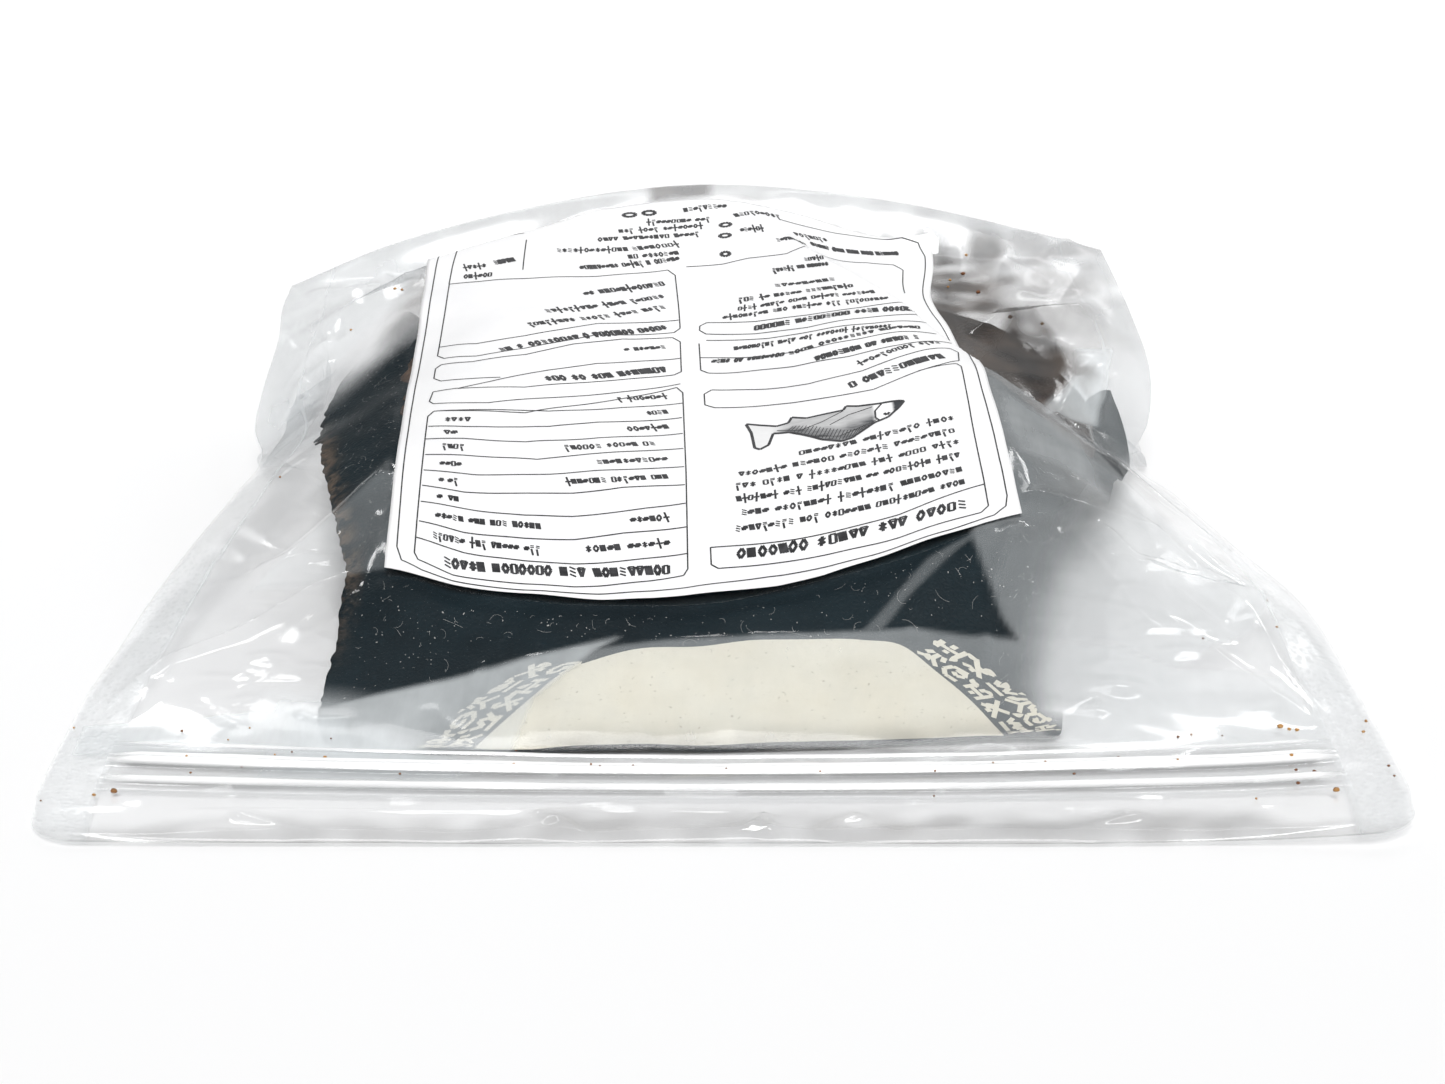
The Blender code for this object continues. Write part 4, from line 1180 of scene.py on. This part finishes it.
def ink_line(points, width):
    """A printed line through points s and t in millimetres, cut short enough to follow the paper."""
    points = np.array(points, float)
    knots = np.concatenate(((0.0,), np.cumsum(np.hypot(*np.diff(points, axis=0).T))))
    at = np.unique(np.concatenate((knots, np.arange(0, knots[-1], 1.1))))
    path = np.stack([np.interp(at, knots, points[:, k]) for k in (0, 1)], -1)
    for (a, b), (c, d) in zip(path[:-1], path[1:]):
        strokes.append((a, b, c, d, width))


# Plain shapes for the rows, each as lines in a square of its own: across, and up from the foot.
BOX = (((0.14, 0.05), (0.14, 0.95), (0.86, 0.95), (0.86, 0.05), (0.14, 0.05)),)
DIAMOND = (((0.5, -0.05), (0.08, 0.5), (0.5, 1.05), (0.92, 0.5), (0.5, -0.05)),)
WEDGE = (((0.06, 0.05), (0.5, 1.0), (0.94, 0.05), (0.06, 0.05)), ((0.34, 0.25), (0.66, 0.25)))
STAR = (((0.5, 0), (0.5, 1)), ((0.08, 0.22), (0.92, 0.78)), ((0.08, 0.78), (0.92, 0.22)))
WAVE = (((0.0, 0.35), (0.2, 0.85), (0.4, 0.15), (0.6, 0.85), (0.8, 0.15), (1.0, 0.65)),)
TICKS = (((0.02, 0), (0.26, 1)), ((0.36, 0), (0.6, 1)), ((0.7, 0), (0.94, 1)))
STEPS = (((0.08, 0.0), (0.92, 0.25)), ((0.08, 0.38), (0.92, 0.63)), ((0.08, 0.76), (0.92, 1.0)))
LONG_TICK = (((0.4, -0.45), (0.6, 1.45)), ((0.08, 0.36), (0.14, 0.64)), ((0.86, 0.36), (0.92, 0.64)))
HIGH_TICK = (((0.34, 0.5), (0.7, 1.5)), ((0.1, 0.0), (0.9, 0.0)), ((0.1, 0.26), (0.9, 0.26)))
SMALL_MARKS = (BOX, TICKS, DIAMOND, WAVE, LONG_TICK, STEPS, WEDGE, TICKS, STAR, HIGH_TICK, WAVE)
HEADING_MARKS = (BOX, STAR, TICKS, DIAMOND, WEDGE, STEPS, BOX, DIAMOND, TICKS)


def ink_row(start, end, words, height, pen, marks, seed):
    """A row of marks from start to end, its middle line given as s and t. Words counts the marks."""
    chance = np.random.RandomState(seed)
    start, end = np.array(start, float), np.array(end, float)
    length = math.hypot(*(end - start))
    way = (end - start) / length
    up = np.array((way[1], -way[0]))
    pitch = length / (sum(words) + WORD_GAP * (len(words) - 1))
    at = 0.0
    for count in words:
        for _ in range(count):
            mark = marks[chance.randint(0, len(marks))]
            lean = chance.uniform(-0.12, 0.12)
            size = height * chance.uniform(0.92, 1.08)
            for line in mark:
                points = [start + way * (at + (0.09 + 0.82 * a + lean * b) * pitch) + up * (b - 0.5) * size
                          for a, b in line]
                for p, q in zip(points[:-1], points[1:]):
                    upright = abs((q - p) @ up) > abs((q - p) @ way)
                    strokes.append((*p, *q, pen if upright else pen * FINE_SHARE))
            at += pitch
        at += WORD_GAP * pitch


# Frames and rules, each from point to point: first the big table at the left, then the boxes beyond it.
FRAMES = (
    ((7.0, 63.0), (7.0, 33.0), (7.0, 7.0), (8.0, 4.9), (16.5, 2.8), (33.5, 2.9), (45.0, 3.4),
     (62.0, 5.6), (70.5, 7.2), (71.5, 9.2)),
    ((71.5, 9.2), (71.9, 45.0), (72.0, 84.0), (70.5, 87.0), (50.0, 76.5), (32.0, 67.0), (8.5, 65.7),
     (7.0, 63.0)),
    ((7.0, 12.4), (19.0, 10.5), (33.5, 10.2), (45.0, 10.6), (56.0, 12.2), (71.5, 14.3)),
    ((7.5, 18.2), (18.5, 17.0), (33.0, 17.3), (45.0, 18.4), (56.5, 21.0), (71.5, 23.0)),
    ((7.5, 25.6), (21.5, 25.1), (33.0, 24.9), (44.5, 26.0), (62.0, 29.6), (71.5, 31.1)),
    ((7.5, 31.8), (18.0, 31.3), (36.0, 33.0), (44.5, 34.1), (56.5, 37.1), (71.5, 38.4)),
    ((7.5, 38.1), (21.0, 38.3), (38.5, 40.9), (50.5, 43.4), (71.5, 46.6)),
    ((7.5, 44.8), (17.5, 45.9), (35.5, 46.6), (47.5, 50.6), (71.5, 55.7)),
    ((7.0, 51.9), (17.0, 53.0), (32.5, 53.4), (50.5, 58.7), (71.5, 63.3)),
    ((7.5, 58.1), (17.5, 58.4), (38.0, 61.4), (50.5, 66.4), (71.5, 71.0)),
    ((8.5, 65.7), (38.0, 68.8), (56.5, 75.0), (71.8, 78.6)),
    ((14.0, 79.4), (7.4, 78.0), (6.8, 72.0), (8.0, 70.2), (22.5, 70.7), (38.0, 76.1), (56.5, 83.5),
     (71.5, 89.0)),
    ((14.0, 79.2), (31.5, 80.6), (50.0, 88.1), (70.0, 94.3), (71.9, 96.0), (72.0, 112.5), (70.0, 115.0)),
    ((70.0, 115.0), (56.5, 113.3), (43.5, 107.9), (31.0, 99.8), (17.0, 95.6), (8.5, 95.6), (7.0, 93.6),
     (7.0, 87.0), (9.0, 84.8), (25.0, 86.0)),
    ((14.0, 79.2), (22.0, 83.2), (37.5, 92.0), (50.0, 98.3), (72.0, 103.4)),
    ((18.0, 99.0), (31.0, 103.8), (50.0, 114.4), (70.5, 118.0), (72.2, 120.5), (72.5, 153.0),
     (70.5, 156.6)),
    ((70.5, 156.6), (50.0, 151.8), (29.5, 149.5), (7.5, 148.5), (7.2, 125.0), (7.0, 102.0), (9.0, 99.4),
     (18.0, 99.0)),
    ((7.0, 108.0), (17.5, 107.0), (30.5, 111.3), (50.0, 121.5), (72.0, 125.7)),
    ((7.4, 148.5), (7.8, 158.0), (8.8, 178.0), (11.0, 180.0), (28.0, 183.0)),
    ((29.0, 176.5), (28.7, 155.1)),
    ((77.0, 15.4), (77.0, 9.6), (78.6, 8.0), (96.5, 6.6), (121.0, 4.4), (140.5, 3.8), (142.5, 5.6)),
    ((77.0, 15.4), (97.0, 13.2), (121.5, 12.0), (142.6, 13.7)),
    ((142.5, 5.6), (142.6, 34.0), (143.6, 70.0), (142.6, 72.0), (132.0, 70.0)),
    ((77.5, 77.0), (80.0, 75.0), (100.0, 69.7), (120.0, 66.4), (138.0, 71.6), (143.6, 74.4),
     (144.4, 82.0), (142.4, 83.6)),
    ((142.4, 83.6), (131.5, 80.0), (118.0, 76.6), (104.0, 76.8), (90.5, 80.9), (79.5, 84.4),
     (77.5, 82.6), (77.5, 77.0)),
    ((77.0, 111.0), (77.0, 96.0), (79.0, 94.0), (87.5, 91.6), (101.0, 88.0), (115.0, 85.7),
     (129.0, 86.2), (143.5, 89.0)),
    ((77.0, 102.8), (91.5, 98.2), (105.0, 95.0), (119.0, 94.2), (140.0, 94.8)),
    ((79.0, 112.4), (95.5, 106.8), (109.5, 104.6), (123.5, 103.0), (140.0, 103.0)),
    ((77.6, 121.0), (77.4, 118.4), (79.0, 116.0), (92.0, 111.3), (106.0, 108.1), (120.5, 107.4),
     (138.0, 108.0)),
    ((77.6, 121.0), (79.6, 122.6), (92.5, 118.4), (106.5, 116.2), (121.0, 115.4), (136.0, 116.0)),
    ((76.0, 158.0), (87.0, 158.4), (94.5, 160.7), (106.0, 161.4), (114.0, 167.4), (130.0, 172.0),
     (138.0, 171.4), (141.0, 168.0), (141.8, 148.0)),
    ((2.6, 8.0), (2.2, 40.2), (2.2, 94.7), (2.6, 149.9), (3.6, 182.0), (8.0, 190.0)),
    ((2.6, 8.0), (4.0, 3.6), (9.0, 1.8), (16.5, 1.0), (33.5, 0.9), (50.5, 1.6), (74.0, 3.0), (90.0, 3.0),
     (114.5, 1.4),
     (133.0, 0.9), (143.5, 1.6), (146.6, 4.0), (147.4, 8.0)),
    ((147.4, 8.0), (147.5, 28.1), (147.6, 80.0), (147.6, 180.0), (146.0, 188.0), (141.0, 191.0),
     (124.0, 192.0), (104.0, 190.0)),
)
for line in FRAMES:
    ink_line(line, FRAME_PEN)
# Rows of marks: start, end, and the marks in each word. A fourth number is a heading's height, or 0
# where small marks are bold.
ROWS = (
    ((14, 6.3), (67.5, 9.4), (5, 7, 3, 9), 3.0), ((11, 14.2), (37, 14.2), (6, 3, 5, 3)),
    ((47.5, 15.6), (67.5, 18.2), (5, 6)),
    ((11.5, 21.2), (37, 21.7), (5, 3, 3, 5)), ((58, 25.4), (67.5, 26.5), (6,)),
    ((11.5, 28.4), (17, 28.4), (1, 2)),
    ((11.5, 34.8), (16.5, 35), (1, 2)), ((42.5, 38.2), (67.5, 42), (7, 6, 3)),
    ((11.5, 41.6), (17, 42), (4,)),
    ((50, 47), (67.5, 50.4), (11,)), ((11.5, 49), (17.5, 49.4), (4,)),
    ((42, 52.8), (64.5, 57.8), (6, 5, 2)),
    ((11.5, 55.4), (15.5, 55.6), (2,)), ((57.5, 64.2), (68, 66.8), (7,)),
    ((11.5, 61.4), (18.5, 62), (4,)),
    ((62.5, 72.8), (68, 74.2), (4,)), ((55, 79.2), (68, 82.6), (1, 7)),
    ((36.5, 86.4), (68, 97.4), (3, 2, 3, 7), 2.9),
    ((57, 107.6), (68, 109.6), (1, 6)), ((24, 102.4), (45, 112.6), (2, 1, 8), 2.3),
    ((46, 113), (68.5, 121.6), (1, 7, 5), 2.7),
    ((31, 118.4), (68.5, 133.6), (8, 5, 4, 4), 0), ((35.5, 128), (68.5, 140.4), (9, 4, 6), 0),
    ((46, 140.6), (69, 148), (2, 12), 0),
    ((11.5, 152.6), (20, 152.8), (6,)), ((11, 158), (18, 159.2), (5,)),
    ((20, 160.4), (26, 162), (5,), 2.4),
    ((45, 157), (74, 163.2), (9, 5, 1, 6)), ((59, 164.6), (74, 166.6), (2, 7)),
    ((38, 168.6), (59, 169.4), (13,)),
    ((60, 169.4), (74, 172.4), (8,)), ((50, 176), (80, 178.6), (4, 9, 5)),
    ((56, 182), (81, 183.8), (3, 4, 8)),
    ((64, 188), (83, 187.8), (9, 3)), ((75, 194.6), (88, 196), (9,)),
    ((83, 12.0), (137.5, 8.4), (7, 5, 3, 5), 3.1), ((83, 20.4), (138, 16.4), (9, 3, 7, 9, 4)),
    ((84.5, 25.6), (138, 21.8), (4, 8, 8, 9)),
    ((83.5, 30.8), (138, 27.8), (7, 3, 9, 2, 8, 4)), ((83.5, 36), (138.5, 33.4), (3, 4, 1, 8, 3, 4, 4)),
    ((84.5, 41), (138, 38.8), (7, 6, 7, 9)), ((99.5, 45.2), (138.5, 44.2), (8, 8, 4)),
    ((114, 71.2), (139.5, 77), (1, 11), 2.9),
    ((117, 80.6), (140, 87.6), (10, 4)), ((106.5, 88.6), (134.5, 90.8), (8, 2, 5, 1), 2.6),
    ((80, 100), (99, 96), (4, 2, 8), 0), ((100, 95.6), (136, 98.4), (4, 9, 7), 0),
    ((86, 105), (128, 99.6), (9, 4, 3, 7, 9)),
    ((92, 114.6), (137, 111.4), (6, 9, 4, 6), 2.7), ((84, 124.4), (130, 119.6), (9, 3, 6, 3, 9)),
    ((88.5, 128.4), (127, 125.4), (4, 5, 4, 6, 7)),
    ((89, 133.4), (122, 132), (3, 2, 5, 9), 0), ((100, 139.6), (118, 138.6), (9,)),
    ((101, 151), (118, 151), (6, 2, 6), 0), ((111, 155.6), (117, 156), (5,)),
    ((113, 177), (139.5, 181.4), (5, 3, 3, 3, 6), 2.0), ((103, 171), (112, 173.6), (8,)),
    ((108, 181), (118, 184), (7,)),
    ((92, 179), (99, 180), (6,)), ((90, 189), (104, 192), (9,)),
)
for number, (start, end, words, *height) in enumerate(ROWS):
    bigger = 1 + 0.30 * float(ease(105, 150, start[1]))
    if height and height[0]:
        ink_row(start, end, words, height[0] * bigger, HEADING_PEN, HEADING_MARKS, number)
    else:
        pen = BOLD_PEN if height else SMALL_PEN
        ink_row(start, end, words, SMALL_HEIGHT * bigger, pen, SMALL_MARKS, number)
# Small rings: s, t and half width.
RINGS = ((59.0, 193.2, 2.6), (64.8, 194.0, 2.6), (87.8, 164.4, 1.8), (87.6, 176.0, 2.2), (87.6, 183.2, 2.2))
turn = np.linspace(0, 2 * math.pi, 13)
for s, t, wide in RINGS:
    ink_line(np.stack((s + wide * 0.7 * np.cos(turn), t + 1.3 * np.sin(turn)), -1), RING_PEN)

# The drawing of a fish: a grey wash with a dark outline and hatching. Its back and its belly run
# from the tail to the snout.
FISH_TOP = np.array((
    (87.5, 64.2), (91, 62.3), (95, 60.5), (98, 61.0), (99, 63.3), (102.6, 61.2), (106, 60.9),
    (111.8, 60.3), (112.6, 61.9), (115.5, 60.4), (120.5, 59.1), (124, 58.5), (126, 57.9), (127, 57.2),
))
FISH_LOW = np.array((
    (87.5, 64.0), (88.6, 59.4), (89.1, 52.2), (90.4, 51.2), (92.6, 52.6), (94, 57.4), (98, 56.4),
    (101, 53.8),
    (105.6, 49.2), (110.5, 46.5), (113, 47.0), (119, 51.4), (122.5, 52.3), (125.5, 55.2), (127, 57.2),
))
# Lines inside the outline, each with its pen: gill, mouth, side line, back line and belly line.
FISH_LINES = (
    (0.5, (121.3, 58.6), (119.5, 56.4), (119.4, 53.4), (120.4, 51.6)),
    (0.8, (121.6, 54.4), (122.3, 53.4), (123.0, 54.2)),
    (0.3, (111.8, 60.0), (106.0, 57.2), (101.0, 56.0), (95.0, 58.4)),
    (0.3, (119.0, 58.4), (113.0, 57.6), (108.0, 55.0)),
    (0.3, (117.0, 51.4), (110.0, 49.0), (104.0, 51.4), (97.0, 57.0)),
)
OUTLINE_PEN = 0.75
HATCH_PEN = 0.22
HATCH_COUNT = 26
WASH_PALE = (0.90, 0.90, 0.90)
WASH_DARK = (0.020, 0.024, 0.030)
wash_s = np.linspace(87.6, 126.9, 90)[None, :]
rise = np.linspace(0, 1, 12)[:, None]
wash_low = np.interp(wash_s, FISH_LOW[:, 0], FISH_LOW[:, 1])
wash_t = wash_low + (np.interp(wash_s, FISH_TOP[:, 0], FISH_TOP[:, 1]) - wash_low) * rise
on_body = ease(93.0, 98.0, wash_s) * (1 - ease(118.6, 119.6, wash_s))
on_snout = ease(123.6, 124.6, wash_s)
shade = 0.14 + on_body * (0.30 + 0.40 * (1 - ease(0.25, 0.6, rise))) + 0.9 * on_snout
shade = shade - 0.16 * ease(119.0, 119.8, wash_s) * (1 - on_snout)
wash_material, start = new_finish("grey_label_wash")
streak = start.noise(500, 3, 0.6, start.stretched_place((0.4, 1.6, 1.0)))
wash_share = start.mark("shade") * (streak * 0.8 + 0.6)
end_finish(wash_material, start.surface(start.blend(wash_share, WASH_PALE, WASH_DARK), streak * 0.1 + 0.5))
sheet_piece("fish_drawing", label_point(wash_s, wash_t, INK_LIFT * 0.6), wash_material, {"shade": shade})
ink_line(FISH_TOP, OUTLINE_PEN)
ink_line(FISH_LOW, OUTLINE_PEN)
for pen, *points in FISH_LINES:
    ink_line(points, pen)
for k in range(HATCH_COUNT):
    foot = 97.5 + 0.82 * k
    low = np.interp(foot, FISH_LOW[:, 0], FISH_LOW[:, 1])
    tip = low + 1.2 + 3.4 * math.sin(math.pi * (k + 3) / (HATCH_COUNT + 4))
    ink_line(((foot, low + 0.6), (foot + 1.6, tip)), HATCH_PEN)
ink_material, start = new_finish("black_label_ink")
fade = start.noise(380, 3, 0.6)
ink_colour = start.blend(fade.between(0.35, 0.75), (0.010, 0.010, 0.012), (0.050, 0.050, 0.055))
end_finish(ink_material, start.surface(ink_colour, fade * 0.2 + 0.45))
s0, t0, s1, t1, width = np.array(strokes).T
run = np.maximum(np.hypot(s1 - s0, t1 - t0), 1e-6)
aside_s, aside_t = (t0 - t1) / run * width / 2, (s1 - s0) / run * width / 2
corners_s = np.stack((s0 + aside_s, s1 + aside_s, s1 - aside_s, s0 - aside_s), -1)
corners_t = np.stack((t0 + aside_t, t1 + aside_t, t1 - aside_t, t0 - aside_t), -1)
mesh_piece("label_print", label_point(corners_s, corners_t, INK_LIFT),
           np.arange(4 * len(strokes)).reshape(-1, 4), ink_material)


# Studio: a plain white floor, soft light from above, and the camera where the photograph was
# taken from. A sky that is dim overhead and brighter near the floor fills the film's reflections.
FLOOR_HALF = 8.0
SKY_STOPS = (
    (0.0, (0.40, 0.40, 0.40)), (0.24, (0.42, 0.42, 0.42)), (0.36, (0.75, 0.75, 0.75)),
    (0.46, (0.75, 0.75, 0.75)), (0.58, (0.30, 0.30, 0.305)), (0.80, (0.12, 0.12, 0.125)),
    (1.0, (0.08, 0.08, 0.085)),
)
SKY_LEFT = (0.07, 0.07, 0.072)
SUN_STRENGTH = 2.98
SUN_WIDTH = 30.0
SUN_TILT = 36.0
BOX_DISTANCE = 1.4
# Azimuth and elevation in degrees, width, height and radiance of each soft box. Azimuth 0 is beyond
# the pouch.
SOFT_BOXES = {
    "left_box": (-24, 36, 0.14, 0.12, 9.0),
    "far_left_box": (-42, 46, 0.10, 0.08, 10.0),
    "right_box": (22, 42, 0.22, 0.11, 10.0),
    "far_right_box": (36, 27, 0.14, 0.10, 10.0),
    "back_box": (-6, 47, 0.7, 0.20, 4.5),
}
PHOTO_WIDTH = 1445
FOCAL_PIXELS = 2800
SENSOR_WIDTH = 36.0
CAMERA_BACK = 0.65893
CAMERA_UP = 0.27331
CAMERA_PITCH = 22.0


def add_object(name, data):
    """A new object in the scene."""
    made = bpy.data.objects.new(name, data)
    bpy.context.scene.collection.objects.link(made)
    return made


floor_material, start = new_finish("studio_floor")
end_finish(floor_material, start.surface((0.92, 0.92, 0.92), 0.9))
floor_mesh = bpy.data.meshes.new("floor")
floor_corners = [(FLOOR_HALF * a, FLOOR_HALF * b, 0) for a, b in ((-1, -1), (1, -1), (1, 1), (-1, 1))]
floor_mesh.from_pydata(floor_corners, [], [(0, 1, 2, 3)])
floor_mesh.materials.append(floor_material)
add_object("floor", floor_mesh)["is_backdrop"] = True

world = bpy.data.worlds.new("studio")
bpy.context.scene.world = world
world.use_nodes = True
sky = Wire(world.node_tree)
way = sky.node("ShaderNodeTexCoord", None, None, "Generated")
rise = sky.node("ShaderNodeSeparateXYZ", None, {0: way}, "Z")
aside = sky.node("ShaderNodeSeparateXYZ", None, {0: way}, "X")
glow = sky.node("ShaderNodeValToRGB", {"stops": SKY_STOPS}, {0: rise}, "Color")
glow = sky.blend(aside.between(-0.44, -0.22), SKY_LEFT, glow)
world.node_tree.links.new(glow.socket, world.node_tree.nodes["Background"].inputs["Color"])
bpy.context.scene.view_settings.view_transform = "Standard"

sun = bpy.data.lights.new("even_light", "SUN")
sun.energy = SUN_STRENGTH
sun.angle = math.radians(SUN_WIDTH)
add_object("even_light", sun).rotation_euler = (math.radians(SUN_TILT), 0, 0)
for name, (azimuth, elevation, width, height, radiance) in SOFT_BOXES.items():
    lamp = bpy.data.lights.new(name, "AREA")
    lamp.shape = "RECTANGLE"
    lamp.size, lamp.size_y = width, height
    lamp.energy = radiance * math.pi * width * height
    a, e = math.radians(azimuth), math.radians(elevation)
    toward = (math.cos(e) * math.sin(a), math.cos(e) * math.cos(a), math.sin(e))
    holder = add_object(name, lamp)
    holder.location = [BOX_DISTANCE * part for part in toward]
    holder.rotation_euler = (e - math.pi / 2, 0, -a)

camera_data = bpy.data.cameras.new("camera")
camera_data.sensor_width = SENSOR_WIDTH
camera_data.lens = FOCAL_PIXELS / PHOTO_WIDTH * SENSOR_WIDTH
camera_data.clip_start, camera_data.clip_end = 0.02, 40
camera = add_object("camera", camera_data)
camera.location = (0.0, -CAMERA_BACK, CAMERA_UP)
camera.rotation_euler = (math.radians(90 - CAMERA_PITCH), 0, 0)
bpy.context.scene.camera = camera

shown_low, shown_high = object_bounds()
size = {"cad": [list(cad_low), list(cad_high)], "visual": [list(shown_low), list(shown_high)]}
